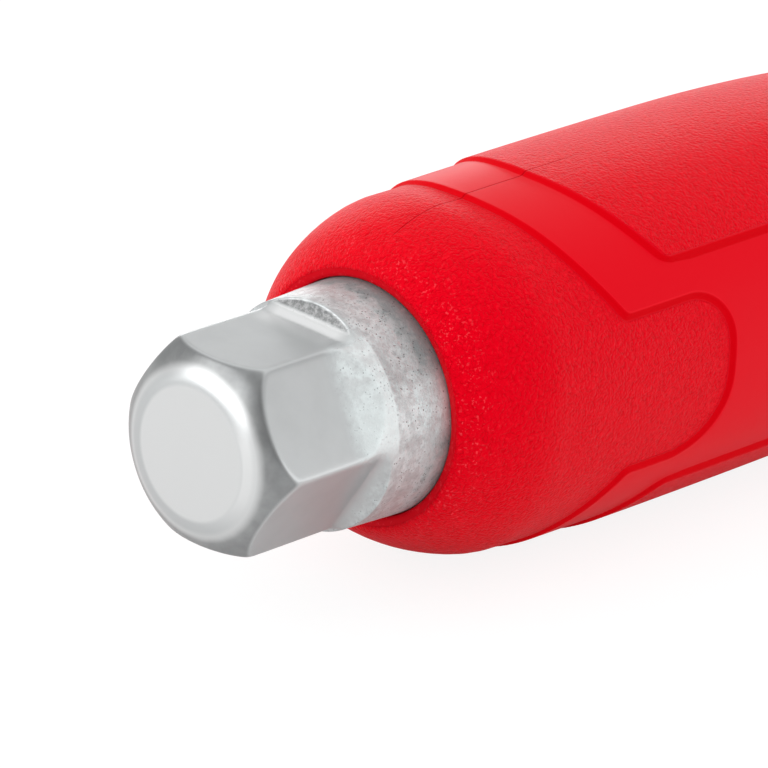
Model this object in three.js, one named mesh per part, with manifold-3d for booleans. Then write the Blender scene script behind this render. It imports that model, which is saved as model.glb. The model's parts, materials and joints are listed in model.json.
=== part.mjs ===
// Hand impact driver lying on its side, in millimetres.
// The tool axis is X: the striking face is at x = 0 and the bit points to +X.
// +Z goes up through the grip's parting line.
// An angle round the axis starts at +Z and turns towards -Y.
import * as THREE from 'three';
import { mergeVertices } from 'three/addons/utils/BufferGeometryUtils.js';
import Module from 'manifold-3d';

const wasm = await Module();
wasm.setup();

const DEGREE = Math.PI / 180;
const ROUND_STEPS = 36;
const SMALL_STEPS = 24;
const HEX_SIDES = 6;
const SQUARE_SIDES = 4;

// Clearances
const FIT = 0.3;
const OVERRUN = 2;

// Striking head and collar
const HEAD_ACROSS_FLATS = 19.5;
const FACE_RADIUS = 7.3;
const FACE_ROUND_RADIUS = 8;
const FACE_ROUND_DEPTH = 0.15;
const CHAMFER_START_RADIUS = 8.4;
const CHAMFER_START_DEPTH = 0.6;
const CHAMFER_LENGTH = 3.6;
const HEAD_LENGTH = 16.1;
const COLLAR_REAR_RADIUS = 11.8;
const COLLAR_FRONT_RADIUS = 12.15;
const COLLAR_LENGTH = 8.2;
const NECK_LENGTH = 6.7;

// Striking body's tube
const TUBE_WALL = 3.5;
const TUBE_EDGE = 0.5;
const BORE_FLOOR = 3;
const KEY_GROOVE_DEPTH = 1;
const KEY_GROOVE_WIDTH = 4;
const KEY_GROOVE_SHARES = [0.32, 0.76];

// Return spring and its seats
const SEAT_THICKNESS = 1.7;
const SEAT_HOLE_RADIUS = 4;
const SPRING_LENGTH = 23.4;
const SPRING_GAP = 1.8;
const SPRING_WIRE_RADIUS = 1.1;
const SPRING_END_PITCH = 2.8;
const SPRING_CURLS = 6;
const WASHER_THICKNESS = 1.6;
const WASHER_GAP = 0.5;

// Cam sleeve, its slots, pin and dowels
const TRAVEL = 8;
const CAM_TURN = 15 * DEGREE;
const CAM_WALL = 2.2;
const CAM_REAR_LAND = 8;
const CAM_FRONT_LAND = 5;
const PIN_RADIUS = 2.5;
const PIN_END_GAP = 0.4;
const DOWEL_RADIUS = 1.5;
const DOWEL_INSET = 4;
const DOWEL_BITE = 1.1;
const SLOT_END_STEPS = 8;

// Spindle and square drive. The journal's radius sets all the fits round it, out to the grip
const JOURNAL_RADIUS = 8.2;
const PILOT_RADIUS = 2.7;
const PILOT_LENGTH = 3.5;
const FLANGE_GAP = 0.9;
const FLANGE_THICKNESS = 3;
const FLANGE_SPARE = 1;
const SQUARE_ACROSS_FLATS = 12.7;
const SQUARE_LENGTH = 15;
const SQUARE_EDGE = 1;
const SPINDLE_NECK = 0.8;

// Bushing, seal and retaining ring
const BUSHING_LENGTH = 8;
const O_RING_RADIUS = 0.45;
const O_RING_STEPS = 8;
const RING_THICKNESS = 1.4;
const RING_STAND_IN = 1.3;
const RING_GROOVE_DEPTH = 1.1;
const RING_MOUTH = 5;
const SEAL_THICKNESS = 2.5;

// Grip
const GRIP_TAIL_X = 22.6;
const GRIP_MOUTH_LIP = 1.35;
const GRIP_MOUTH_DEPTH = 1.2;
const TAIL_ROUND_LENGTH = 12.4;
const TAIL_ROUND_POWER_SHARE = 1.65;
const CROWN_X = 74;
const GRIP_WALL = 5.35;
const CROWN_REAR_DROP = 0.3;
const CROWN_REAR_REACH = 34;
const CROWN_FRONT_DROP = 1.1;
const CROWN_FRONT_REACH = 26;
const SQUARENESS_SHARE = 0.025;
const SQUARE_BLEND_START = 26;
const SQUARE_BLEND_LENGTH = 10;
const STEP_HEIGHT = 0.4;
const STEP_RUN = 0.9;
const STEP_SINK = 0.3;
const PANEL_ROOT_DEPTH = 3;
const GRIP_FRONT_ROUND = 1.5;

// The grip's three levels, each a step above the one behind it: where their edges run
const REAR_EDGE_X = 36.4;
const REAR_EDGE_BOW = 15.4;
const TONGUE_TIP_X = 58.9;
const TONGUE_CORNER = 5;
const TONGUE_CENTRE = 87 * DEGREE;
const TONGUE_HALF_ANGLE = 25 * DEGREE;
const TONGUE_SIDE_ANGLE = 2.4 * DEGREE;
const FRONT_EDGE_X = 46.1;
const FRONT_EDGE_BOW = 20.2;
const FRONT_PANEL_MARGIN = 5;
const TOP_PANEL_HALF_ANGLE = 47.6 * DEGREE;
const BOTTOM_PANEL_HALF_ANGLE = 54.4 * DEGREE;
const PANEL_SIDE_ANGLE = 3 * DEGREE;
const QUARTER_TURN = 90 * DEGREE;
const TAIL_ROW_SHARES = [0, 0.012, 0.04, 0.08, 0.14, 0.22, 0.32, 0.44, 0.6, 0.8, 1];
const SMOOTH_ROWS = 10;
const FRONT_ROWS = 8;
const PANEL_STEPS = 11;
const TONGUE_STEPS = 16;
const EDGE_STEPS = 7;

// Nose ring
const NOSE_LENGTH = 6;
const NOSE_WALL = 1.9;
const NOSE_EDGE = 1;

// Detent ball and its spring
const BALL_RADIUS = 2.4;
const BALL_STAND_OUT = 0.8;
const BALL_INSET = 7.5;
const BALL_HOLE_BOTTOM = -3.5;
const BALL_STEPS = 14;
const BALL_ROWS = 9;
const DETENT_RADIUS = 1.6;
const DETENT_WIRE_RADIUS = 0.3;
const DETENT_CURLS = 4;

// Bit holder, clip ring and magnet
const HOLDER_GAP = 1.2;
const HOLDER_RADIUS = 11.5;
const HOLDER_FRONT_RADIUS = 8;
const HOLDER_TAPER_LENGTH = 6;
const HOLDER_EDGE = 0.8;
const HOLDER_WEB = 2;
const SOCKET_SPARE = 0.5;
const BIT_SOCKET_DEPTH = 16;
const MAGNET_RADIUS = 3;
const MAGNET_THICKNESS = 2.4;
const CLIP_INSET = 9;
const CLIP_THICKNESS = 1;
const CLIP_DEPTH = 0.7;
const CLIP_MOUTH = 1.2;

// Screw bit
const BIT_ACROSS_FLATS = 8;
const BIT_SHANK_LENGTH = 29;
const BIT_EDGE = 0.6;
const BIT_NECK_RADIUS = 3.6;
const BIT_CONE_LENGTH = 8.5;
const BIT_TIP_RADIUS = 1.1;
const BIT_FLUTE_OFFSET = 0.9;
const BIT_FLUTES = 4;

// Wound wire: sections a curl and sides a section
const CURL_STEPS = 8;
const WIRE_SIDES = 5;

// Places along the axis, from the striking face to the bit
const collarEndX = HEAD_LENGTH + COLLAR_LENGTH;
const tubeStartX = collarEndX + NECK_LENGTH;
const boreFloorX = tubeStartX + BORE_FLOOR;
const seatX = boreFloorX + FIT;
const springStartX = seatX + SEAT_THICKNESS + FIT;
const washerX = springStartX + SPRING_LENGTH + FIT;
const spindleRearX = washerX + WASHER_THICKNESS + FIT;
const camRearX = spindleRearX + FIT;
const slotRadius = PIN_RADIUS + FIT;
const pinX = camRearX + CAM_REAR_LAND + slotRadius + TRAVEL;
const camFrontX = pinX + slotRadius + CAM_FRONT_LAND;
const flangeX = camFrontX + TRAVEL + FLANGE_SPARE;
const bushingX = flangeX + FLANGE_THICKNESS + FIT;
const bushingEndX = bushingX + BUSHING_LENGTH;
const ringX = bushingEndX + FIT;
const sealX = ringX + RING_THICKNESS + FIT;
const tubeEndX = sealX + SEAL_THICKNESS;
const gripEndX = tubeEndX - NOSE_LENGTH - FIT;
const squareX = tubeEndX + TRAVEL + SPINDLE_NECK;
const squareEndX = squareX + SQUARE_LENGTH;
const ballX = squareX + BALL_INSET;
const holderX = squareX + HOLDER_GAP;
const socketEndX = squareEndX + SOCKET_SPARE;
const magnetX = socketEndX + HOLDER_WEB;
const bitX = magnetX + MAGNET_THICKNESS + FIT;
const holderEndX = bitX + BIT_SOCKET_DEPTH;
const clipX = bitX + CLIP_INSET;
const bitConeX = bitX + BIT_SHANK_LENGTH;

// Radii that fit each other, from the journal outwards
const camInnerRadius = JOURNAL_RADIUS + FIT;
const liningRadius = camInnerRadius + CAM_WALL;
const boreRadius = liningRadius + FIT;
const tubeRadius = boreRadius + TUBE_WALL;
const gripBoreRadius = tubeRadius + FIT;
const gripCrownRadius = tubeRadius + GRIP_WALL;
const gripTailRadius = COLLAR_FRONT_RADIUS + GRIP_MOUTH_LIP;
const noseRadius = tubeRadius + NOSE_WALL;
const springRadius = liningRadius - SPRING_GAP - SPRING_WIRE_RADIUS;
const washerRadius = liningRadius - WASHER_GAP;
const flangeRadius = liningRadius - FLANGE_GAP;
const ringInnerRadius = liningRadius - RING_STAND_IN;
const ballHoleRadius = BALL_RADIUS + FIT;
const ballY = SQUARE_ACROSS_FLATS / 2 + BALL_STAND_OUT - BALL_RADIUS;
const clipInnerRadius = BIT_ACROSS_FLATS / 2 / Math.cos(Math.PI / HEX_SIDES) + FIT;
const clipOuterRadius = clipInnerRadius + CLIP_DEPTH;

/** Drops what only shading needs and merges like vertices, so that a surface is joined up. */
function joined(geometry) {
  const bare = geometry.clone();
  bare.deleteAttribute('normal');
  bare.deleteAttribute('uv');
  return mergeVertices(bare);
}

/** Six times the volume that the triangles enclose; negative when they face inwards. */
function signedVolume(positions, triangles) {
  const corners = [new THREE.Vector3(), new THREE.Vector3(), new THREE.Vector3()];
  let total = 0;
  for (let i = 0; i < triangles.length; i += 3) {
    corners.forEach((corner, k) => corner.fromArray(positions, 3 * triangles[i + k]));
    total += corners[0].dot(corners[1].cross(corners[2]));
  }
  return total;
}

/** Makes a manifold solid from a closed geometry, with its faces turned outwards. */
function solidOf(geometry) {
  const whole = joined(geometry);
  const positions = whole.attributes.position.array;
  const triangles = [];
  for (let i = 0; i < whole.index.count; i += 3) {
    const [a, b, c] = [0, 1, 2].map((k) => whole.index.getX(i + k));
    if (a !== b && b !== c && c !== a) {
      triangles.push(a, b, c);
    }
  }
  if (signedVolume(positions, triangles) < 0) {
    triangles.reverse();
  }
  return new wasm.Manifold(new wasm.Mesh({
    numProp: 3,
    vertProperties: new Float32Array(positions),
    triVerts: new Uint32Array(triangles),
  }));
}

/** Turns a manifold solid back into a three.js geometry. */
function geometryOf(solid) {
  const mesh = solid.getMesh();
  const geometry = new THREE.BufferGeometry();
  geometry.setAttribute('position', new THREE.BufferAttribute(mesh.vertProperties, 3));
  geometry.setIndex(new THREE.BufferAttribute(mesh.triVerts, 1));
  return geometry;
}

/** Turns an outline of [x, radius] points about the tool axis. */
function turned(outline, steps = ROUND_STEPS, startAngle = 0) {
  const points = outline.map(([x, radius]) => new THREE.Vector2(radius, x));
  const geometry = new THREE.LatheGeometry(points, steps, startAngle);
  geometry.rotateZ(-QUARTER_TURN);
  return solidOf(geometry);
}

/** A plain ring or, with no inner radius, a plain disc. */
function ring(startX, endX, outerRadius, innerRadius = 0, steps = ROUND_STEPS) {
  const outline = [[startX, innerRadius], [startX, outerRadius], [endX, outerRadius], [endX, innerRadius]];
  if (innerRadius > 0) {
    outline.push([startX, innerRadius]);
  }
  return turned(outline, steps);
}

/** A prism with flats, one of them facing up. */
function flatted(startX, endX, acrossFlats, sides) {
  const halfStep = Math.PI / sides;
  const radius = acrossFlats / 2 / Math.cos(halfStep);
  return turned([[startX, 0], [startX, radius], [endX, radius], [endX, 0]], sides, halfStep);
}

/** A round bar square to the axis at the given x, along Y or Z, between two heights. */
function crossBar(x, radius, start, end, alongY = false, steps = SMALL_STEPS) {
  const geometry = new THREE.CylinderGeometry(radius, radius, end - start, steps);
  geometry.translate(0, (start + end) / 2, 0);
  if (!alongY) {
    geometry.rotateX(QUARTER_TURN);
  }
  geometry.translate(x, 0, 0);
  return solidOf(geometry);
}

/** A box given by its middle and its sizes. */
function block(middle, sizes) {
  const geometry = new THREE.BoxGeometry(...sizes);
  geometry.translate(...middle);
  return solidOf(geometry);
}

/** Joins a row of like loops into a solid. A row that doesn't close on itself is capped. */
function loft(loops, closesOnItself = false) {
  const size = loops[0].length;
  const positions = loops.flat().flatMap((point) => point.toArray());
  const triangles = [];
  const bays = closesOnItself ? loops.length : loops.length - 1;
  for (let i = 0; i < bays; i += 1) {
    const here = i * size;
    const next = ((i + 1) % loops.length) * size;
    for (let j = 0; j < size; j += 1) {
      const k = (j + 1) % size;
      triangles.push(here + j, here + k, next + k, here + j, next + k, next + j);
    }
  }
  if (!closesOnItself) {
    const last = (loops.length - 1) * size;
    for (let j = 1; j < size - 1; j += 1) {
      triangles.push(0, j + 1, j, last, last + j, last + j + 1);
    }
  }
  const geometry = new THREE.BufferGeometry();
  geometry.setAttribute('position', new THREE.Float32BufferAttribute(positions, 3));
  geometry.setIndex(triangles);
  return solidOf(geometry);
}

/** The point at a place along the axis, a radius and an angle round the axis. */
function around(x, radius, angle) {
  return new THREE.Vector3(x, -radius * Math.sin(angle), radius * Math.cos(angle));
}

/** A closed compression spring about the axis: close end curls and even curls between them. */
function windSpring({ name, startX, length, coilRadius, wireRadius, curls, endPitch }) {
  const middlePitch = (length - 2 * wireRadius - 2 * endPitch) / (curls - 2);
  const xAt = (curl) => startX + wireRadius
    + endPitch * Math.min(curl, 1)
    + middlePitch * Math.min(Math.max(curl - 1, 0), curls - 2)
    + endPitch * Math.max(curl - (curls - 1), 0);
  const middles = [];
  const loops = [];
  for (let step = 0; step <= curls * CURL_STEPS; step += 1) {
    const curl = step / CURL_STEPS;
    const angle = curl * 2 * Math.PI;
    middles.push(around(xAt(curl), coilRadius, angle));
    loops.push(Array.from({ length: WIRE_SIDES }, (_, side) => {
      const tilt = (2 * Math.PI * side) / WIRE_SIDES;
      const radius = coilRadius + wireRadius * Math.cos(tilt);
      return around(xAt(curl) + wireRadius * Math.sin(tilt), radius, angle);
    }));
  }
  console.log(`${name}: least gap to itself ${leastGap(middles, wireRadius).toFixed(2)} mm`);
  return loft(loops);
}

/** The least gap between a wound wire's curls, measured on its middle line. */
function leastGap(middles, wireRadius) {
  let least = Infinity;
  middles.forEach((point, i) => {
    for (let j = i + CURL_STEPS / 2; j < middles.length; j += 1) {
      least = Math.min(least, point.distanceTo(middles[j]));
    }
  });
  return least - 2 * wireRadius;
}

/** The forged steel body: striking head, hexagon, collar and the tube that holds the mechanism. */
function strikingBody() {
  const cornerRadius = HEAD_ACROSS_FLATS / 2 / Math.cos(Math.PI / HEX_SIDES);
  const hexagon = flatted(0, HEAD_LENGTH + OVERRUN, HEAD_ACROSS_FLATS, HEX_SIDES);
  const chamfer = turned([
    [0, 0],
    [0, FACE_RADIUS],
    [FACE_ROUND_DEPTH, FACE_ROUND_RADIUS],
    [CHAMFER_START_DEPTH, CHAMFER_START_RADIUS],
    [CHAMFER_LENGTH, cornerRadius],
    [CHAMFER_LENGTH, cornerRadius + OVERRUN],
    [HEAD_LENGTH + OVERRUN, cornerRadius + OVERRUN],
    [HEAD_LENGTH + OVERRUN, 0],
  ]);
  const barrel = turned([
    [HEAD_LENGTH, 0],
    [HEAD_LENGTH, COLLAR_REAR_RADIUS],
    [collarEndX, COLLAR_FRONT_RADIUS],
    [tubeStartX, COLLAR_FRONT_RADIUS],
    [tubeStartX, tubeRadius],
    [tubeEndX - TUBE_EDGE, tubeRadius],
    [tubeEndX, tubeRadius - TUBE_EDGE],
    [tubeEndX, 0],
  ]);
  const ringGroove = ring(ringX - FIT, sealX, boreRadius + RING_GROOVE_DEPTH, boreRadius - FIT);
  let body = hexagon.intersect(chamfer)
    .add(barrel)
    .subtract(ring(boreFloorX, tubeEndX + OVERRUN, boreRadius))
    .subtract(ringGroove);
  for (const { start, end } of keyGrooves()) {
    body = body.subtract(ring(start, end, tubeRadius + OVERRUN, tubeRadius - KEY_GROOVE_DEPTH));
  }
  for (const side of [-1, 1]) {
    body = body.subtract(dowelHole(side, boreRadius - OVERRUN, tubeRadius + OVERRUN));
  }
  return body;
}

/** Where the tube's outside is grooved, so that the moulded grip can't creep along it. */
function keyGrooves() {
  return KEY_GROOVE_SHARES.map((share) => {
    const start = tubeStartX + share * (tubeEndX - tubeStartX) - KEY_GROOVE_WIDTH / 2;
    return { start, end: start + KEY_GROOVE_WIDTH };
  });
}

/** A round hole for a cam dowel, on the -Y side or the +Y side. */
function dowelHole(side, innerRadius, outerRadius) {
  const [start, end] = [side * innerRadius, side * outerRadius].sort((a, b) => a - b);
  return crossBar(camRearX + DOWEL_INSET, DOWEL_RADIUS + FIT, start, end, true);
}

/** A dowel through the tube's wall that keeps the cam sleeve from turning. */
function camDowel(side) {
  const innerRadius = liningRadius - DOWEL_BITE;
  const outerRadius = tubeRadius - FIT;
  const [start, end] = [side * innerRadius, side * outerRadius].sort((a, b) => a - b);
  return crossBar(camRearX + DOWEL_INSET, DOWEL_RADIUS, start, end, true);
}

/** One leg of a cam slot: a round-ended slot wrapped round the axis from the pin's rest place. */
function slotLeg(startAngle, endAngle) {
  const sideways = (endAngle - startAngle) * camInnerRadius;
  const lean = Math.atan2(sideways, -TRAVEL);
  const shape = new THREE.Shape();
  const ends = [
    { x: 0, y: 0, from: lean + QUARTER_TURN },
    { x: -TRAVEL, y: sideways, from: lean - QUARTER_TURN },
  ];
  ends.forEach(({ x, y, from }, end) => {
    for (let step = 0; step <= SLOT_END_STEPS; step += 1) {
      const angle = from + (Math.PI * step) / SLOT_END_STEPS;
      const point = [x + slotRadius * Math.cos(angle), y + slotRadius * Math.sin(angle)];
      if (end === 0 && step === 0) {
        shape.moveTo(...point);
      } else {
        shape.lineTo(...point);
      }
    }
  });
  const innerRadius = camInnerRadius - OVERRUN;
  const depth = liningRadius + OVERRUN - innerRadius;
  const geometry = new THREE.ExtrudeGeometry(shape, { depth, bevelEnabled: false, steps: 1 });
  const position = geometry.attributes.position;
  for (let i = 0; i < position.count; i += 1) {
    const angle = startAngle + position.getY(i) / camInnerRadius;
    const point = around(pinX + position.getX(i), innerRadius + position.getZ(i), angle);
    position.setXYZ(i, ...point.toArray());
  }
  return solidOf(geometry);
}

/** The cam sleeve: two slots, each forked into a leg for tightening and a leg for loosening. */
function camSleeve() {
  let sleeve = ring(camRearX, camFrontX, liningRadius, camInnerRadius);
  for (const start of [0, Math.PI]) {
    for (const turn of [CAM_TURN, -CAM_TURN]) {
      sleeve = sleeve.subtract(slotLeg(start, start + turn));
    }
  }
  const dowelFloor = liningRadius - DOWEL_BITE - FIT;
  for (const side of [-1, 1]) {
    sleeve = sleeve.subtract(dowelHole(side, dowelFloor, boreRadius + OVERRUN));
  }
  return sleeve;
}

/** The washer on the bore's floor that the return spring stands on. */
function springSeat() {
  return ring(seatX, seatX + SEAT_THICKNESS, liningRadius, SEAT_HOLE_RADIUS);
}

/** The spring that pushes the spindle forward again after a blow. */
function returnSpring() {
  return windSpring({
    name: 'return_spring',
    startX: springStartX,
    length: SPRING_LENGTH,
    coilRadius: springRadius,
    wireRadius: SPRING_WIRE_RADIUS,
    curls: SPRING_CURLS,
    endPitch: SPRING_END_PITCH,
  });
}

/** The bronze washer between the spring and the turning spindle. */
function thrustWasher() {
  return ring(washerX, washerX + WASHER_THICKNESS, washerRadius, PILOT_RADIUS + FIT);
}

/** The pin across the spindle, whose ends run in the cam slots. */
function crossPin() {
  const half = liningRadius - PIN_END_GAP;
  return crossBar(pinX, PIN_RADIUS, -half, half);
}

/** The spindle: rear pilot, journal with the pin's hole, flange and square drive. */
function driveSpindle() {
  const journal = turned([
    [spindleRearX - PILOT_LENGTH, 0],
    [spindleRearX - PILOT_LENGTH, PILOT_RADIUS],
    [spindleRearX, PILOT_RADIUS],
    [spindleRearX, JOURNAL_RADIUS],
    [flangeX, JOURNAL_RADIUS],
    [flangeX, flangeRadius],
    [flangeX + FLANGE_THICKNESS, flangeRadius],
    [flangeX + FLANGE_THICKNESS, JOURNAL_RADIUS],
    [squareX, JOURNAL_RADIUS],
    [squareX, 0],
  ]);
  const rounding = turned([
    [squareX - OVERRUN, 0],
    [squareX - OVERRUN, JOURNAL_RADIUS],
    [squareEndX - SQUARE_EDGE, JOURNAL_RADIUS],
    [squareEndX, JOURNAL_RADIUS - SQUARE_EDGE],
    [squareEndX, 0],
  ]);
  const square = flatted(squareX - OVERRUN, squareEndX, SQUARE_ACROSS_FLATS, SQUARE_SIDES);
  const pinHole = crossBar(pinX, PIN_RADIUS + FIT, -boreRadius, boreRadius);
  const ballHole = crossBar(ballX, ballHoleRadius, BALL_HOLE_BOTTOM, boreRadius, true);
  return journal.add(square.intersect(rounding)).subtract(pinHole).subtract(ballHole);
}

/** The bronze bushing that guides the spindle at the tube's mouth. */
function frontBushing() {
  const groove = ring(
    bushingX + BUSHING_LENGTH / 2 - O_RING_RADIUS - FIT,
    bushingX + BUSHING_LENGTH / 2 + O_RING_RADIUS + FIT,
    liningRadius + OVERRUN,
    oRingMiddleRadius() - O_RING_RADIUS - FIT,
  );
  return ring(bushingX, bushingEndX, liningRadius, camInnerRadius).subtract(groove);
}

/** The radius of the o-ring's middle line: its outside comes close to the tube's bore. */
function oRingMiddleRadius() {
  return boreRadius - FIT / 2 - O_RING_RADIUS;
}

/** The rubber ring in the bushing's groove. */
function bushingORing() {
  const outline = Array.from({ length: O_RING_STEPS + 1 }, (_, step) => {
    const angle = (2 * Math.PI * (step % O_RING_STEPS)) / O_RING_STEPS;
    return [
      bushingX + BUSHING_LENGTH / 2 + O_RING_RADIUS * Math.cos(angle),
      oRingMiddleRadius() + O_RING_RADIUS * Math.sin(angle),
    ];
  });
  return turned(outline);
}

/** The open steel ring in the tube's groove that keeps the mechanism in. */
function retainingRing() {
  const outerRadius = boreRadius + RING_GROOVE_DEPTH - FIT;
  const whole = ring(ringX, ringX + RING_THICKNESS, outerRadius, ringInnerRadius);
  const mouth = block([ringX, 0, -outerRadius], [2 * (RING_THICKNESS + OVERRUN), RING_MOUTH, outerRadius]);
  return whole.subtract(mouth);
}

/** The rubber seal between the spindle and the tube's mouth. */
function dustSeal() {
  return ring(sealX, tubeEndX, liningRadius, camInnerRadius);
}

/** The radius of the front panels' level on the grip's diagonals, with the levels' steps left out. */
function crownRadius(x) {
  const behind = x < CROWN_X;
  const drop = behind ? CROWN_REAR_DROP : CROWN_FRONT_DROP;
  const reach = behind ? CROWN_REAR_REACH : CROWN_FRONT_REACH;
  return gripCrownRadius - drop * ((x - CROWN_X) / reach) ** 2;
}

/** The grip's radius on its diagonals, the given depth below the front panels. The tail is rounded. */
function gripRadius(x, depth) {
  const roundEndX = GRIP_TAIL_X + TAIL_ROUND_LENGTH;
  if (x >= roundEndX) {
    return crownRadius(x) - depth;
  }
  const share = Math.min((roundEndX - x) / TAIL_ROUND_LENGTH, 1);
  const rise = (1 - share ** TAIL_ROUND_POWER_SHARE) ** (1 / TAIL_ROUND_POWER_SHARE);
  return gripTailRadius + (crownRadius(roundEndX) - depth - gripTailRadius) * rise;
}

/** A point the given depth below the front panels' level. The section is a soft square. */
function gripPoint(x, angle, depth) {
  const blend = THREE.MathUtils.smoothstep(x, SQUARE_BLEND_START, SQUARE_BLEND_START + SQUARE_BLEND_LENGTH);
  const squareness = SQUARENESS_SHARE * blend * (1 + Math.cos(4 * angle)) / 2;
  return around(x, gripRadius(x, depth) * (1 - squareness), angle);
}

/** How far an angle is from the nearer of the grip's top and bottom lines. */
function fromSeam(angle) {
  const folded = Math.abs(Math.atan2(Math.sin(angle), Math.cos(angle)));
  return Math.min(folded, Math.PI - folded);
}

/** Where the smooth level starts behind: a bowed edge that goes round the tongue on each side. */
function rearEdgeX(angle) {
  const bowed = REAR_EDGE_X + REAR_EDGE_BOW * (fromSeam(angle) / QUARTER_TURN) ** 2;
  const folded = Math.abs(Math.atan2(Math.sin(angle), Math.cos(angle)));
  const inside = (TONGUE_HALF_ANGLE - Math.abs(folded - TONGUE_CENTRE)) * gripCrownRadius;
  if (inside < 0) {
    return bowed;
  }
  const intoCorner = Math.max(TONGUE_CORNER - inside, 0);
  return TONGUE_TIP_X - TONGUE_CORNER + Math.sqrt(TONGUE_CORNER ** 2 - intoCorner ** 2);
}

/** Even angles from one to another, with both ends. */
function evenAngles(from, to, steps) {
  return Array.from({ length: steps + 1 }, (_, step) => from + ((to - from) * step) / steps);
}

/** The angles of the smooth level's sections: closer together at the tongues' rounded corners. */
function edgeAngles() {
  const start = TONGUE_CENTRE - TONGUE_HALF_ANGLE;
  const end = TONGUE_CENTRE + TONGUE_HALF_ANGLE;
  const easedAngle = (share) => TONGUE_CENTRE - TONGUE_HALF_ANGLE * Math.cos(Math.PI * share);
  const half = [
    ...evenAngles(0, start - TONGUE_SIDE_ANGLE, EDGE_STEPS),
    ...evenAngles(0, 1, TONGUE_STEPS).map(easedAngle),
    ...evenAngles(end + TONGUE_SIDE_ANGLE, Math.PI, EDGE_STEPS),
  ];
  const mirrored = half.slice(1, -1).reverse().map((angle) => -angle);
  return [...half, ...mirrored];
}

/** The grip's lowest level: the rounded mouth, the tail, and what shows of it as the tongues. */
function gripTail() {
  const mouthX = GRIP_TAIL_X + GRIP_MOUTH_DEPTH;
  const endX = TONGUE_TIP_X + STEP_RUN + OVERRUN;
  const rows = TAIL_ROW_SHARES.map((share) => GRIP_TAIL_X + share * (endX - GRIP_TAIL_X));
  const loops = evenAngles(0, 2 * Math.PI, ROUND_STEPS).slice(0, -1).map((angle) => [
    around(mouthX, 0, angle),
    around(mouthX, COLLAR_FRONT_RADIUS, angle),
    around((mouthX + GRIP_TAIL_X) / 2, (COLLAR_FRONT_RADIUS + gripTailRadius) / 2 - FIT, angle),
    ...rows.map((x) => gripPoint(x, angle, 2 * STEP_HEIGHT)),
    around(endX, 0, angle),
  ]);
  return loft(loops, true);
}

/** The middle level: the smooth channel and side recesses, whose rear wall rises from the tail. */
function gripSmoothLevel() {
  const endX = gripEndX - GRIP_FRONT_ROUND;
  const rootRadius = gripBoreRadius - STEP_SINK;
  const loops = edgeAngles().map((angle) => {
    const edgeX = rearEdgeX(angle);
    const rows = evenAngles(edgeX + STEP_RUN, endX, SMOOTH_ROWS);
    return [
      around(edgeX, rootRadius, angle),
      gripPoint(edgeX, angle, 2 * STEP_HEIGHT + STEP_SINK),
      ...rows.map((x) => gripPoint(x, angle, STEP_HEIGHT)),
      gripPoint(gripEndX, angle, STEP_HEIGHT + GRIP_FRONT_ROUND),
      around(gripEndX, rootRadius, angle),
    ];
  });
  return loft(loops, true);
}

/** The highest level: one panel in front of the channel, centred on the top line or the bottom line. */
function gripPanel(middleAngle, halfAngle) {
  const endX = gripEndX - FRONT_PANEL_MARGIN;
  const rootRadius = gripBoreRadius + STEP_SINK;
  const angles = evenAngles(-halfAngle, halfAngle, PANEL_STEPS).map((angle) => ({ angle, depth: 0 }));
  const foot = STEP_HEIGHT + STEP_SINK;
  const sides = [-1, 1].map((side) => ({ angle: side * (halfAngle + PANEL_SIDE_ANGLE), depth: foot }));
  const loops = [sides[0], ...angles, sides[1]].map(({ angle, depth }) => {
    const bow = FRONT_EDGE_BOW * (Math.min(Math.abs(angle), halfAngle) / QUARTER_TURN) ** 2;
    const edgeX = FRONT_EDGE_X + bow;
    const place = middleAngle + angle;
    const rows = evenAngles(edgeX, endX, FRONT_ROWS);
    return [
      around(edgeX - STEP_RUN, rootRadius, place),
      gripPoint(edgeX - STEP_RUN, place, foot),
      ...rows.map((x) => gripPoint(x, place, depth)),
      gripPoint(endX + STEP_RUN, place, foot),
      around(endX + STEP_RUN, rootRadius, place),
    ];
  });
  return loft(loops);
}

/** The space inside the grip: it fits the collar and the tube, with a rib in each groove. */
function gripBore() {
  const mouthRadius = COLLAR_FRONT_RADIUS + FIT;
  const ribRadius = gripBoreRadius - KEY_GROOVE_DEPTH;
  const outline = [
    [GRIP_TAIL_X - OVERRUN, 0],
    [GRIP_TAIL_X - OVERRUN, mouthRadius],
    [tubeStartX - FIT, mouthRadius],
    [tubeStartX - FIT, gripBoreRadius],
  ];
  for (const { start, end } of keyGrooves()) {
    outline.push([start + FIT, gripBoreRadius], [start + FIT, ribRadius]);
    outline.push([end - FIT, ribRadius], [end - FIT, gripBoreRadius]);
  }
  outline.push([gripEndX + OVERRUN, gripBoreRadius], [gripEndX + OVERRUN, 0]);
  return turned(outline);
}

/** The moulded grip: its tail, the smooth level, and the front panels above and below. */
function gripSleeve() {
  return gripTail()
    .add(gripSmoothLevel())
    .add(gripPanel(0, TOP_PANEL_HALF_ANGLE))
    .add(gripPanel(Math.PI, BOTTOM_PANEL_HALF_ANGLE))
    .subtract(gripBore());
}

/** The steel ring on the tube that closes the grip's front. */
function noseRing() {
  return turned([
    [gripEndX + FIT, gripBoreRadius],
    [gripEndX + FIT, noseRadius],
    [tubeEndX - NOSE_EDGE, noseRadius],
    [tubeEndX, noseRadius - NOSE_EDGE],
    [tubeEndX, gripBoreRadius],
    [gripEndX + FIT, gripBoreRadius],
  ]);
}

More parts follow.
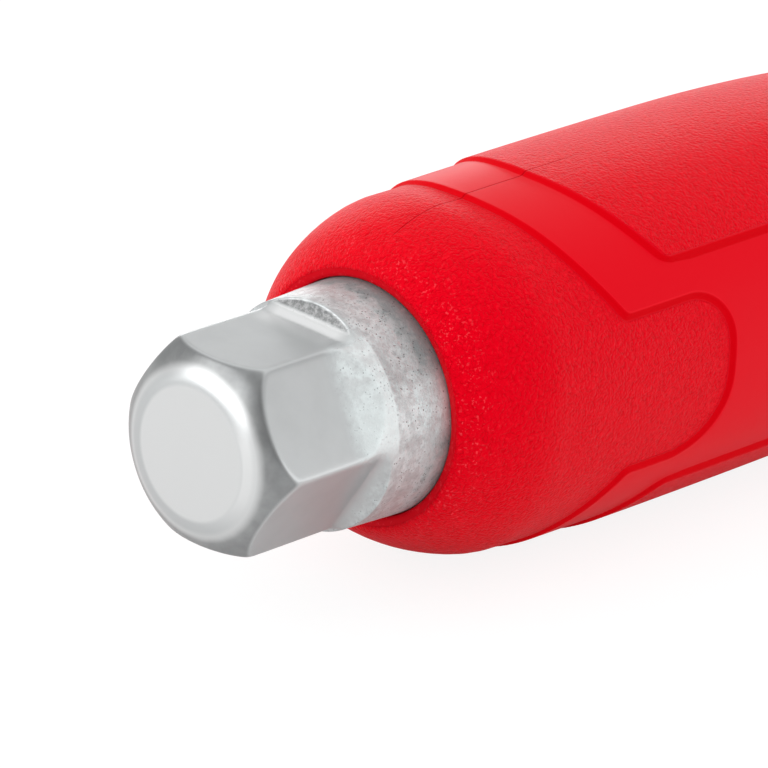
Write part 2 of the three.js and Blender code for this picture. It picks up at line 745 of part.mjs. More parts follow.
/** The small spring under the detent ball, wound along Y. */
function detentSpring() {
  const length = ballY - BALL_RADIUS - BALL_HOLE_BOTTOM - 2 * FIT;
  const wound = windSpring({
    name: 'detent_spring',
    startX: 0,
    length,
    coilRadius: DETENT_RADIUS,
    wireRadius: DETENT_WIRE_RADIUS,
    curls: DETENT_CURLS,
    endPitch: (length - 2 * DETENT_WIRE_RADIUS) / DETENT_CURLS,
  });
  const geometry = geometryOf(wound);
  geometry.rotateZ(QUARTER_TURN);
  geometry.translate(ballX, BALL_HOLE_BOTTOM + FIT, 0);
  return solidOf(geometry);
}

/** The ball that holds the bit holder on the square. */
function detentBall() {
  const geometry = new THREE.SphereGeometry(BALL_RADIUS, BALL_STEPS, BALL_ROWS);
  geometry.translate(ballX, ballY, 0);
  return solidOf(geometry);
}

/** The bit holder: square socket behind, hexagonal socket in front, and a hole for the ball. */
function bitHolder() {
  const taperX = socketEndX + HOLDER_WEB;
  const outside = turned([
    [holderX, 0],
    [holderX, HOLDER_RADIUS - HOLDER_EDGE],
    [holderX + HOLDER_EDGE, HOLDER_RADIUS],
    [taperX, HOLDER_RADIUS],
    [taperX + HOLDER_TAPER_LENGTH, HOLDER_FRONT_RADIUS],
    [holderEndX - HOLDER_EDGE, HOLDER_FRONT_RADIUS],
    [holderEndX, HOLDER_FRONT_RADIUS - HOLDER_EDGE],
    [holderEndX, 0],
  ]);
  const squareSocket = flatted(holderX - OVERRUN, socketEndX, SQUARE_ACROSS_FLATS + 2 * FIT, SQUARE_SIDES)
    .intersect(ring(holderX - OVERRUN, socketEndX, JOURNAL_RADIUS + FIT));
  const hexSocket = flatted(bitX - FIT, holderEndX + OVERRUN, BIT_ACROSS_FLATS + 2 * FIT, HEX_SIDES);
  const magnetHole = ring(magnetX - FIT, bitX, MAGNET_RADIUS + FIT, 0, SMALL_STEPS);
  const clipGroove = ring(clipX - FIT, clipX + CLIP_THICKNESS + FIT, clipOuterRadius + FIT, 0, SMALL_STEPS);
  return outside
    .subtract(squareSocket)
    .subtract(hexSocket)
    .subtract(magnetHole)
    .subtract(clipGroove)
    .subtract(crossBar(ballX, ballHoleRadius, ballY, HOLDER_RADIUS + OVERRUN, true));
}

/** The round magnet behind the bit. */
function holderMagnet() {
  return ring(magnetX, magnetX + MAGNET_THICKNESS, MAGNET_RADIUS, 0, SMALL_STEPS);
}

/** The open spring ring in the holder that grips the bit. */
function bitClipRing() {
  const whole = ring(clipX, clipX + CLIP_THICKNESS, clipOuterRadius, clipInnerRadius, SMALL_STEPS);
  const mouthLength = 2 * (CLIP_THICKNESS + OVERRUN);
  const mouth = block([clipX, 0, -clipOuterRadius], [mouthLength, CLIP_MOUTH, clipOuterRadius]);
  return whole.subtract(mouth);
}

/** The screw bit: hexagonal shank and a cross point with four flutes. */
function screwBit() {
  const cornerRadius = BIT_ACROSS_FLATS / 2 / Math.cos(Math.PI / HEX_SIDES);
  const tipX = bitConeX + BIT_CONE_LENGTH;
  const rounding = turned([
    [bitX, 0],
    [bitX, cornerRadius - BIT_EDGE],
    [bitX + BIT_EDGE, cornerRadius],
    [bitConeX - BIT_EDGE, cornerRadius],
    [bitConeX, BIT_NECK_RADIUS],
    [bitConeX, 0],
  ], SMALL_STEPS);
  const point = turned([
    [bitConeX - BIT_EDGE, 0],
    [bitConeX - BIT_EDGE, BIT_NECK_RADIUS],
    [bitConeX, BIT_NECK_RADIUS],
    [tipX - BIT_EDGE, BIT_TIP_RADIUS],
    [tipX, 0],
  ], SMALL_STEPS);
  let bit = flatted(bitX, bitConeX, BIT_ACROSS_FLATS, HEX_SIDES).intersect(rounding).add(point);
  for (let flute = 0; flute < BIT_FLUTES; flute += 1) {
    bit = bit.subtract(bitFlute((flute + 0.5) * (2 * Math.PI / BIT_FLUTES)));
  }
  return bit;
}

/** A square-cornered flute beside the bit's point. Its corner points at the axis. */
function bitFlute(angle) {
  const geometry = new THREE.BoxGeometry(BIT_CONE_LENGTH, BIT_NECK_RADIUS, BIT_NECK_RADIUS);
  geometry.translate(BIT_CONE_LENGTH / 2, BIT_NECK_RADIUS / 2, BIT_NECK_RADIUS / 2);
  geometry.rotateX(QUARTER_TURN / 2);
  geometry.rotateY(Math.atan2(BIT_NECK_RADIUS - BIT_TIP_RADIUS, BIT_CONE_LENGTH) / 2);
  geometry.translate(bitConeX + BIT_EDGE, 0, BIT_FLUTE_OFFSET + BIT_EDGE);
  geometry.rotateX(angle);
  return solidOf(geometry);
}

/** A material with the piece's colour, roughness and metalness. */
function material(color, roughness, metalness) {
  return new THREE.MeshStandardMaterial({ color, roughness, metalness });
}

const forgedSteel = () => material(0xb9babb, 0.38, 1);
const groundSteel = () => material(0xc6c8ca, 0.25, 1);
const darkSteel = () => material(0x3b3c3f, 0.45, 1);
const springSteel = () => material(0x8e9195, 0.35, 1);
const bronze = () => material(0xa67c42, 0.4, 1);
const redPlastic = () => material(0xcf0a1a, 0.42, 0);
const blackRubber = () => material(0x1b1b1c, 0.85, 0);

/** Adds a named piece to a group. */
function piece(group, name, solid, look) {
  const mesh = new THREE.Mesh(geometryOf(solid), look);
  mesh.name = name;
  group.add(mesh);
}

/** The striking body and all that moves with it. */
function bodyGroup() {
  const group = new THREE.Group();
  piece(group, 'striking_body', strikingBody(), forgedSteel());
  piece(group, 'grip_sleeve', gripSleeve(), redPlastic());
  piece(group, 'nose_ring', noseRing(), groundSteel());
  piece(group, 'cam_sleeve', camSleeve(), darkSteel());
  piece(group, 'cam_dowel_1', camDowel(-1), groundSteel());
  piece(group, 'cam_dowel_2', camDowel(1), groundSteel());
  piece(group, 'spring_seat', springSeat(), darkSteel());
  piece(group, 'return_spring', returnSpring(), springSteel());
  piece(group, 'front_bushing', frontBushing(), bronze());
  piece(group, 'bushing_o_ring', bushingORing(), blackRubber());
  piece(group, 'retaining_ring', retainingRing(), springSteel());
  piece(group, 'dust_seal', dustSeal(), blackRubber());
  return group;
}

/** The spindle and all that turns with it. */
function spindleGroup() {
  const group = new THREE.Group();
  piece(group, 'thrust_washer', thrustWasher(), bronze());
  piece(group, 'drive_spindle', driveSpindle(), groundSteel());
  piece(group, 'cross_pin', crossPin(), groundSteel());
  piece(group, 'detent_spring', detentSpring(), springSteel());
  piece(group, 'detent_ball', detentBall(), groundSteel());
  piece(group, 'bit_holder', bitHolder(), darkSteel());
  piece(group, 'bit_clip_ring', bitClipRing(), springSteel());
  piece(group, 'holder_magnet', holderMagnet(), groundSteel());
  piece(group, 'screw_bit', screwBit(), darkSteel());
  return group;
}

const impactDriver = new THREE.Group();
impactDriver.add(bodyGroup(), spindleGroup());

export default impactDriver;
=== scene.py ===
"""A hand impact driver on a pale floor: forged striking head, moulded grip, nose and bit.

The tool's axis is X. The striking face is at x = 0, the bit points to +X, and the grip's
parting line is on top. Sizes are written in millimetres and made metres in the meshes.
Angles round the axis start at +Z and turn towards -Y.
"""
import json
import logging
import math
from dataclasses import dataclass
from enum import Enum

import bpy
import numpy as np
from mathutils import Matrix, Vector


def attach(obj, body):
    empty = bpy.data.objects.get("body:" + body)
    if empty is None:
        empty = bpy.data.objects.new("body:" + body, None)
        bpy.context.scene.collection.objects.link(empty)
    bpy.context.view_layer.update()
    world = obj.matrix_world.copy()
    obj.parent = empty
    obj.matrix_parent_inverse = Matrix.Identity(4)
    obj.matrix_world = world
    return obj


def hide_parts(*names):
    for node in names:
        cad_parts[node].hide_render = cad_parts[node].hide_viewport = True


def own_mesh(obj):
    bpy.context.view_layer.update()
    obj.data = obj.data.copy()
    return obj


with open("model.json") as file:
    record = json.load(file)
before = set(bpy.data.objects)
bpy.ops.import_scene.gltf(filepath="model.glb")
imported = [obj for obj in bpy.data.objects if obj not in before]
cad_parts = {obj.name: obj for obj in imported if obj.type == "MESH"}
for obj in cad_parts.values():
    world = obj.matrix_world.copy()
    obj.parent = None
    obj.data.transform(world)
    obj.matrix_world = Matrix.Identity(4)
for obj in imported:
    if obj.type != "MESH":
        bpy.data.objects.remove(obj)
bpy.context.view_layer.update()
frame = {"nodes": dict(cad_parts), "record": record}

MM = 0.001
TURN = 2 * math.pi
QUARTER = 90.0
WHITE = (1.0, 1.0, 1.0)
LOG = logging.getLogger("impact_driver")

# Steps hold a first place, an end and a step. A speckle is a noise's size in millimetres, how
# many finer layers it has and how strong they are. Outlines and profiles hold x and radius.
Piece = bpy.types.Object
Socket = bpy.types.NodeSocket
Span = tuple[float, float]
Steps = tuple[float, float, float]
Point = tuple[float, float, float]
Colour = tuple[float, float, float]
Speckle = tuple[float, float, float]
Outline = list[tuple[float, float]]
Profile = tuple[tuple[float, float], ...]


class Level(Enum):
    """The grip's three levels, as depths in steps below the front panels."""

    TAIL = 2
    SMOOTH = 1
    PANEL = 0


class MeshShop:
    """Blender's own tools, called as they are by hand."""

    ROUND_SIDES = 96
    TURNED_ANGLE = 30.0
    BEVEL_ANGLE = 28.0
    END_FACE_COST = 9
    SEAM_GAP = 1e-5
    DOUBLE_GAP = 2e-7

    @staticmethod
    def clear_selection() -> None:
        """Deselects every object, the CAD nodes among them."""
        if bpy.context.object and bpy.context.object.mode != "OBJECT":
            bpy.ops.object.mode_set(mode="OBJECT")
        bpy.ops.object.select_all(action="DESELECT")

    @classmethod
    def pick(cls, piece: Piece) -> None:
        """Makes one object the only selected one.

        Args:
            piece: The object to select.
        """
        cls.clear_selection()
        piece.select_set(True)
        bpy.context.view_layer.objects.active = piece

    @classmethod
    def spun_sheet(cls, name: str, rows: int, steps: int, closed: bool) -> Piece:
        """Spins a plain line of points about the X axis, as a start for a turned piece.

        Point number i of the line stands at x = i millimetres and 1 metre from the axis, so that
        the caller can tell the rows apart and move each point to its place.

        Args:
            name: The piece's name.
            rows: How many points the line has.
            steps: How many steps the spin takes.
            closed: Whether the line closes on itself.

        Returns:
            The spun piece.
        """
        cls.clear_selection()
        bpy.ops.mesh.primitive_circle_add(vertices=rows, radius=1.0, fill_type="NOTHING")
        piece = bpy.context.object
        piece.name = name
        piece.data.name = name
        for i, vertex in enumerate(piece.data.vertices):
            vertex.co = (i * MM, 0.0, 1.0)
        bpy.ops.object.mode_set(mode="EDIT")
        if not closed:
            bpy.ops.mesh.select_mode(type="EDGE")
            bpy.ops.object.mode_set(mode="OBJECT")
            for edge in piece.data.edges:
                edge.select = set(edge.vertices) == {0, rows - 1}
            bpy.ops.object.mode_set(mode="EDIT")
            bpy.ops.mesh.delete(type="EDGE")
        bpy.ops.mesh.select_mode(type="VERT")
        bpy.ops.mesh.select_all(action="SELECT")
        bpy.ops.mesh.spin(steps=steps, angle=TURN, center=(0, 0, 0), axis=(1, 0, 0))
        bpy.ops.mesh.select_all(action="SELECT")
        bpy.ops.mesh.remove_doubles(threshold=cls.SEAM_GAP)
        bpy.ops.object.mode_set(mode="OBJECT")
        return piece

    @classmethod
    def close_up(cls, piece: Piece, angle: float) -> None:
        """Merges doubles, turns the faces outwards and smooths all but the sharp edges.

        Args:
            piece: The piece to finish.
            angle: Edges sharper than this, in degrees, stay sharp.
        """
        cls.pick(piece)
        bpy.ops.object.mode_set(mode="EDIT")
        bpy.ops.mesh.select_all(action="SELECT")
        bpy.ops.mesh.remove_doubles(threshold=cls.DOUBLE_GAP)
        bpy.ops.mesh.normals_make_consistent(inside=False)
        bpy.ops.object.mode_set(mode="OBJECT")
        bpy.ops.object.shade_smooth_by_angle(angle=math.radians(angle))

    @classmethod
    def copy_node(cls, node: str, name: str, angle: float) -> Piece:
        """Copies a CAD node, joins its triangles and smooths its round faces.

        Args:
            node: The node.
            name: The copy's name.
            angle: Edges sharper than this, in degrees, stay sharp.

        Returns:
            The copy.
        """
        piece = bpy.data.objects.new(name, frame["nodes"][node].data.copy())
        bpy.context.scene.collection.objects.link(piece)
        cls.pick(piece)
        bpy.ops.mesh.customdata_custom_splitnormals_clear()
        cls.close_up(piece, angle)
        return piece

    @classmethod
    def apply(cls, piece: Piece, modifier: bpy.types.Modifier) -> None:
        """Applies a piece's modifier."""
        cls.pick(piece)
        bpy.ops.object.modifier_apply(modifier=modifier.name)

    @classmethod
    def bevel(cls, piece: Piece, width: float, segments: int = 3) -> None:
        """Rounds a piece's sharp edges.

        Args:
            piece: The piece to round.
            width: The bevel's width in millimetres.
            segments: How many faces the rounding has.
        """
        modifier = piece.modifiers.new("rounding", "BEVEL")
        modifier.width = width * MM
        modifier.segments = segments
        modifier.limit_method = "ANGLE"
        modifier.angle_limit = math.radians(cls.BEVEL_ANGLE)
        modifier.harden_normals = False
        cls.apply(piece, modifier)

    @classmethod
    def cut(cls, piece: Piece, tool: Piece, how: str = "DIFFERENCE") -> None:
        """Cuts a piece with another object and removes the tool.

        Args:
            piece: The piece to cut.
            tool: The shape that cuts.
            how: The kind of boolean.
        """
        modifier = piece.modifiers.new("cut", "BOOLEAN")
        modifier.object = tool
        modifier.operation = how
        modifier.solver = "EXACT"
        cls.apply(piece, modifier)
        bpy.data.objects.remove(tool, do_unlink=True)

    @classmethod
    def turned(cls, name: str, outline: Outline, steps: int, closed: bool) -> Piece:
        """A piece turned from an outline of (x, radius) points in millimetres.

        Args:
            name: The piece's name.
            outline: The points, from the rear to the front.
            steps: How many sides the turned piece has.
            closed: Whether the outline closes on itself, as for a ring.

        Returns:
            The turned piece.
        """
        piece = cls.spun_sheet(name, len(outline), steps, closed)
        row, angle = cls.rows_and_angles(piece)
        places = np.array(outline)
        cls.place(piece, places[row, 0], places[row, 1], angle)
        cls.close_up(piece, cls.TURNED_ANGLE)
        return piece

    @classmethod
    def prism(cls, name: str, span: Span, across: float, sides: int) -> Piece:
        """A prism along X with one flat facing up.

        Args:
            name: The piece's name.
            span: Its first and last x in millimetres.
            across: Its size across flats in millimetres.
            sides: How many sides it has.

        Returns:
            The prism.
        """
        cls.clear_selection()
        radius = across / 2 / math.cos(math.pi / sides)
        bpy.ops.mesh.primitive_cylinder_add(
            vertices=sides,
            radius=radius * MM,
            depth=(span[1] - span[0]) * MM,
            location=((span[0] + span[1]) / 2 * MM, 0, 0),
            rotation=(0, math.pi / 2, 0),
        )
        piece = bpy.context.object
        piece.name = name
        cls.settle(piece)
        turn = Matrix.Rotation(cls.flat_turn(piece), 4, "X")
        piece.data.transform(turn)
        return piece

    @staticmethod
    def flat_turn(piece: Piece) -> float:
        """Finds the turn about X that brings the nearest flat of a prism to the top.

        Args:
            piece: The prism.

        Returns:
            The turn in radians.
        """
        sides_first = MeshShop.END_FACE_COST
        best = min(piece.data.polygons, key=lambda face: abs(face.normal.x) * sides_first - face.normal.z)
        return math.atan2(best.normal.y, best.normal.z)

    @classmethod
    def bar(cls, name: str, place: Point, radius: float, length: float) -> Piece:
        """A round bar along Y.

        Args:
            name: Its name.
            place: Its middle in millimetres.
            radius: Its radius in millimetres.
            length: Its length in millimetres.

        Returns:
            The bar.
        """
        cls.clear_selection()
        bpy.ops.mesh.primitive_cylinder_add(
            vertices=cls.ROUND_SIDES,
            radius=radius * MM,
            depth=length * MM,
            location=Vector(place) * MM,
            rotation=(math.pi / 2, 0, 0),
        )
        piece = bpy.context.object
        piece.name = name
        cls.settle(piece)
        return piece

    @classmethod
    def rod(cls, name: str, span: Span, radius: float) -> Piece:
        """A round rod along the tool's axis, from the span's first x to its last."""
        ends = [(span[0], 0.0), (span[0], radius), (span[1], radius), (span[1], 0.0)]
        return cls.turned(name, ends, cls.ROUND_SIDES, closed=False)

    @classmethod
    def settle(cls, piece: Piece) -> None:
        """Puts a piece's place, turn and scale into its mesh."""
        cls.pick(piece)
        bpy.ops.object.transform_apply(location=True, rotation=True, scale=True)

    @staticmethod
    def coordinates(piece: Piece) -> np.ndarray:
        """Reads all of a piece's points.

        Args:
            piece: The piece.

        Returns:
            The points in metres, one in each row.
        """
        points = np.empty(3 * len(piece.data.vertices))
        piece.data.vertices.foreach_get("co", points)
        return points.reshape(-1, 3)

    @classmethod
    def rows_and_angles(cls, piece: Piece) -> tuple[np.ndarray, np.ndarray]:
        """The row number and the angle of each point of a fresh spun sheet.

        Args:
            piece: A piece as spun_sheet makes it.

        Returns:
            The row of each point, and its angle in radians from 0 to a full turn.
        """
        points = cls.coordinates(piece)
        row = np.rint(points[:, 0] / MM).astype(int)
        angle = np.mod(np.arctan2(-points[:, 1], points[:, 2]), TURN)
        return row, angle

    @staticmethod
    def place(piece: Piece, x: np.ndarray, radius: np.ndarray, angle: np.ndarray) -> None:
        """Moves each point to a place along the axis, a radius and an angle.

        Args:
            piece: The piece whose points move.
            x: Places along the axis in millimetres.
            radius: Radii in millimetres.
            angle: Angles in radians.
        """
        points = np.stack([x, -radius * np.sin(angle), radius * np.cos(angle)], axis=1) * MM
        piece.data.vertices.foreach_set("co", points.ravel())
        piece.data.update()

    @staticmethod
    def mark(piece: Piece, name: str, values: np.ndarray) -> None:
        """Writes one number for each of a piece's points, for a finish to read by its name."""
        attribute = piece.data.attributes.new(name, "FLOAT", "POINT")
        attribute.data.foreach_set("value", values.astype(np.float32))


def spread_angles(
    turn: np.ndarray, steps: int, crowded: list[float], width: float, weight: float
) -> np.ndarray:
    """Moves even angles so that more of them fall near some angles.

    Args:
        turn: The even angles in radians, from 0 to a full turn.
        steps: How many different angles a full turn has.
        crowded: The angles, in degrees, that get more.
        width: How wide the crowding is, in degrees.
        weight: How much closer together they get there.

    Returns:
        The moved angles in radians.
    """
    fine = np.linspace(0.0, 4 * QUARTER, 7201)
    density = np.ones_like(fine)
    for middle in crowded:
        away = np.abs((fine - middle + 2 * QUARTER) % (4 * QUARTER) - 2 * QUARTER)
        density += weight * np.exp(-((away / width) ** 2))
    total = np.concatenate([[0.0], np.cumsum((density[1:] + density[:-1]) / 2)])
    table = np.radians(np.interp(np.arange(steps) / steps, total / total[-1], fine))
    return table[np.rint(turn / TURN * steps).astype(int) % steps]


def rise(value: np.ndarray, start: float, width: float) -> np.ndarray:
    """A straight rise from 0 at the start to 1 a width further on."""
    return np.clip((value - start) / width, 0, 1)


def fall(value: np.ndarray, end: float, width: float) -> np.ndarray:
    """A straight fall from 1 to 0 at the end, over the width before it."""
    return rise(-value, -end, width)


def degrees_from(angle: np.ndarray, middle: float = 0.0) -> np.ndarray:
    """How many degrees each angle is away from a middle, on either side."""
    away = angle - middle
    return np.degrees(np.abs(np.arctan2(np.sin(away), np.cos(away))))


def offset(x: float, radius: float, table: Profile) -> Outline:
    """An outline's points, given as steps away from one place."""
    return [(x + along, radius + outward) for along, outward in table]


def stepped(spans: tuple[Steps, ...]) -> list[float]:
    """Places along spans that each have a first place, an end and a step."""
    return [float(x) for first, end, step in spans for x in np.arange(first, end, step)]


def round_corner(ahead: np.ndarray, beside: np.ndarray, radius: float) -> np.ndarray:
    """The distance outside a shape with two sides and a rounded corner.

    Args:
        ahead: How far each place is past the one side.
        beside: How far it is past the other side.
        radius: The corner's radius.

    Returns:
        Distances, negative inside the shape.
    """
    over, out = ahead + radius, beside + radius
    outside = np.hypot(np.maximum(over, 0), np.maximum(out, 0))
    return np.minimum(np.maximum(over, out), 0) + outside - radius


def ramp(share: np.ndarray, ease: float) -> np.ndarray:
    """A straight rise from 0 to 1 with rounded ends.

    Args:
        share: How far along the rise.
        ease: How much of each end is rounded, up to a half.

    Returns:
        The height at each place.
    """
    t = np.clip(share, 0.0, 1.0)
    low = t**2 / (2 * ease * (1 - ease))
    high = 1 - (1 - t) ** 2 / (2 * ease * (1 - ease))
    middle = (t - ease / 2) / (1 - ease)
    return np.where(t < ease, low, np.where(t > 1 - ease, high, middle))


def soft_min(a: np.ndarray, b: np.ndarray, width: float) -> np.ndarray:
    """The lesser of two numbers, with a rounded change where they are nearer than the width."""
    mix = np.clip(0.5 + 0.5 * (b - a) / width, 0.0, 1.0)
    return b * (1 - mix) + a * mix - width * mix * (1 - mix)


@dataclass(frozen=True)
class Coat:
    """A colour that lies over another, and how much of it covers."""

    colour: Colour
    share: float = 1.0


class NodeSheet:
    """A tree of shader nodes, laid from left to right."""

    def __init__(self, tree: bpy.types.NodeTree) -> None:
        """Empties a material's or a world's tree."""
        self.tree = tree
        tree.nodes.clear()

    def add(self, kind: str, **settings: object) -> bpy.types.Node:
        """Adds a node and sets its options.

        Args:
            kind: The node's type.
            settings: Its options and their values.

        Returns:
            The node.
        """
        node = self.tree.nodes.new(kind)
        for key, value in settings.items():
            setattr(node, key, value)
        return node

    def join(self, start: Socket, end: Socket) -> None:
        """Links two sockets."""
        self.tree.links.new(start, end)

    def feed(self, socket: Socket, value: object) -> None:
        """Sets a socket, or links it where the value is a socket.

        Args:
            socket: The input.
            value: A number, a colour or another node's output.
        """
        if isinstance(value, Socket):
            self.join(value, socket)
        elif isinstance(value, tuple) and len(value) == 3 and socket.type == "RGBA":
            socket.default_value = (*value, 1.0)
        else:
            socket.default_value = value

    def math(self, operation: str, *values: object, clamp: bool = False) -> Socket:
        """Adds a Math node.

        Args:
            operation: What it does.
            values: Its inputs, numbers or sockets.
            clamp: Whether the result is held between 0 and 1.

        Returns:
            The result's socket.
        """
        node = self.add("ShaderNodeMath", operation=operation, use_clamp=clamp)
        for socket, value in zip(node.inputs, values):
            self.feed(socket, value)
        return node.outputs[0]

    def times(self, *values: object) -> Socket:
        """Multiplies numbers and sockets.

        Args:
            values: What is multiplied, a socket first.

        Returns:
            The product.
        """
        product = values[0]
        for value in values[1:]:
            product = self.math("MULTIPLY", product, value)
        return product

    def line(self, value: object, slope: object, start: object) -> Socket:
        """A value times a slope, plus a start."""
        return self.math("MULTIPLY_ADD", value, slope, start)

    def most(self, first: object, second: object) -> Socket:
        """The greater of two values."""
        return self.math("MAXIMUM", first, second)

    def between(self, value: object, band: Span) -> Socket:
        """A smooth rise from 0 to 1 over a band.

        Args:
            value: What is measured.
            band: Where the rise starts and where it ends.

        Returns:
            The result's socket.
        """
        node = self.add("ShaderNodeMapRange", interpolation_type="SMOOTHSTEP")
        self.feed(node.inputs["Value"], value)
        node.inputs["From Min"].default_value, node.inputs["From Max"].default_value = band
        return node.outputs["Result"]

    def zone(self, along: Socket, *spans: Span) -> Socket:
        """The product of a coordinate's smooth rises, each over a span in millimetres."""
        return self.times(*(self.between(along, (start * MM, end * MM)) for start, end in spans))

    def blend(self, share: object, first: object, second: object, mode: str = "MIX") -> Socket:
        """Mixes two colours.

        Args:
            share: How much of the second.
            first: The first colour.
            second: The second colour.
            mode: The kind of mix.

        Returns:
            The mixed colour.
        """
        node = self.add("ShaderNodeMix", data_type="RGBA", blend_type=mode)
        self.feed(node.inputs["Factor"], share)
        self.feed(node.inputs["A"], first)
        self.feed(node.inputs["B"], second)
        return node.outputs["Result"]

    def coats(self, tone: object, layers: tuple[tuple[Socket, Coat], ...]) -> Socket:
        """Lays colours over a tone, one after the other.

        Args:
            tone: The tone under them.
            layers: Where each coat lies, from 0 to 1, and the coat.

        Returns:
            The tone with its coats.
        """
        for mask, coat in layers:
            tone = self.blend(self.times(mask, coat.share), tone, coat.colour)
        return tone


class MaterialSheet(NodeSheet):
    """A material's nodes: the shader, its output and patterns on the object's coordinates."""

    def __init__(self, name: str) -> None:
        """Starts a material with a shader and its output.

        Args:
            name: The material's name.
        """
        self.material = bpy.data.materials.new(name)
        self.material.use_nodes = True
        super().__init__(self.material.node_tree)
        self.shader = self.add("ShaderNodeBsdfPrincipled")
        output = self.add("ShaderNodeOutputMaterial")
        self.join(self.shader.outputs["BSDF"], output.inputs["Surface"])
        self.place = self.add("ShaderNodeTexCoord").outputs["Object"]

    def give(self, values: dict[str, object]) -> None:
        """Feeds the shader's inputs, each by its name."""
        for name, value in values.items():
            self.feed(self.shader.inputs[name], value)

    def stretched(self, scale: Point) -> Socket:
        """Scales the object's coordinates.

        Args:
            scale: The factor along each axis.

        Returns:
            The scaled coordinates.
        """
        node = self.add("ShaderNodeMapping")
        self.feed(node.inputs["Vector"], self.place)
        node.inputs["Scale"].default_value = scale
        return node.outputs["Vector"]

    def noise(
        self, size: float, detail: float = 3.0, rough: float = 0.5, vector: object = None
    ) -> Socket:
        """A noise whose blotches are about the given size.

        Args:
            size: The size in millimetres.
            detail: How many finer layers it has.
            rough: How strong the finer layers are.
            vector: Other coordinates than the object's own.

        Returns:
            The noise, from 0 to 1.
        """
        node = self.add("ShaderNodeTexNoise")
        self.feed(node.inputs["Vector"], vector or self.place)
        node.inputs["Scale"].default_value = 1 / (size * MM)
        node.inputs["Detail"].default_value = detail
        node.inputs["Roughness"].default_value = rough
        return node.outputs["Fac"]

    def cells(self, size: float) -> Socket:
        """The distance to the middle of the nearest cell of a scattered pattern.

        Args:
            size: The cells' size in millimetres.

        Returns:
            The distance.
        """
        node = self.add("ShaderNodeTexVoronoi", feature="F1")
        self.feed(node.inputs["Vector"], self.place)
        node.inputs["Scale"].default_value = 1 / (size * MM)
        return node.outputs["Distance"]

    def bump(
        self, height: object, depth: float, strength: float = 1.0, under: object = None
    ) -> Socket:
        """A bump of the given depth.

        Args:
            height: The height, from 0 to 1.
            depth: What a height of 1 stands for, in millimetres.
            strength: How strongly it shows.
            under: Another bump's normal to build on.

        Returns:
            The bumped normal.
        """
        node = self.add("ShaderNodeBump")
        node.inputs["Distance"].default_value = depth * MM
        node.inputs["Strength"].default_value = strength
        self.feed(node.inputs["Height"], height)
        if under is not None:
            self.feed(node.inputs["Normal"], under)
        return node.outputs["Normal"]

    def attribute(self, name: str) -> Socket:
        """A number that the piece carries on its points."""
        return self.add("ShaderNodeAttribute", attribute_name=name).outputs["Fac"]

    def axes(self) -> list[Socket]:
        """Separates the object's coordinates.

        Returns:
            The x, y and z.
        """
        node = self.add("ShaderNodeSeparateXYZ")
        self.feed(node.inputs[0], self.place)
        return list(node.outputs)


@dataclass(frozen=True)
class Steel:
    """A steel finish: its colour, how far it shines and how fine its marks are."""

    name: str
    colour: Colour
    roughness: float
    spread: float
    grain: float
    depth: float
    lathe: bool = False
    tone_range: Span = (0.82, 1.08)
    cloud: Speckle = (6.0, 4.0, 0.6)
    cloud_band: Span = (0.3, 0.7)
    marks: Speckle = (0.5, 2.0, 0.6)
    tool_lines: Speckle = (0.16, 2.0, 0.7)
    tool_stretch: Point = (1.0, 0.02, 0.02)

    def material(self) -> bpy.types.Material:
        """Makes the finish: cloudy gloss, fine marks and, on turned pieces, tool lines.

        Returns:
            The material.
        """
        sheet = MaterialSheet(self.name)
        cloud = sheet.noise(self.cloud[0] * self.grain, *self.cloud[1:])
        if self.lathe:
            fine = sheet.noise(*self.tool_lines, sheet.stretched(self.tool_stretch))
        else:
            fine = sheet.noise(self.marks[0] * self.grain, *self.marks[1:])
        dark, light = (tuple(min(share * c, 1.0) for c in self.colour) for share in self.tone_range)
        sheet.give({
            "Metallic": 1.0,
            "Base Color": sheet.blend(sheet.between(cloud, self.cloud_band), dark, light),
            "Roughness": sheet.line(cloud, 2 * self.spread, self.roughness - self.spread),
            "Normal": sheet.bump(fine, self.depth),
        })
        return sheet.material


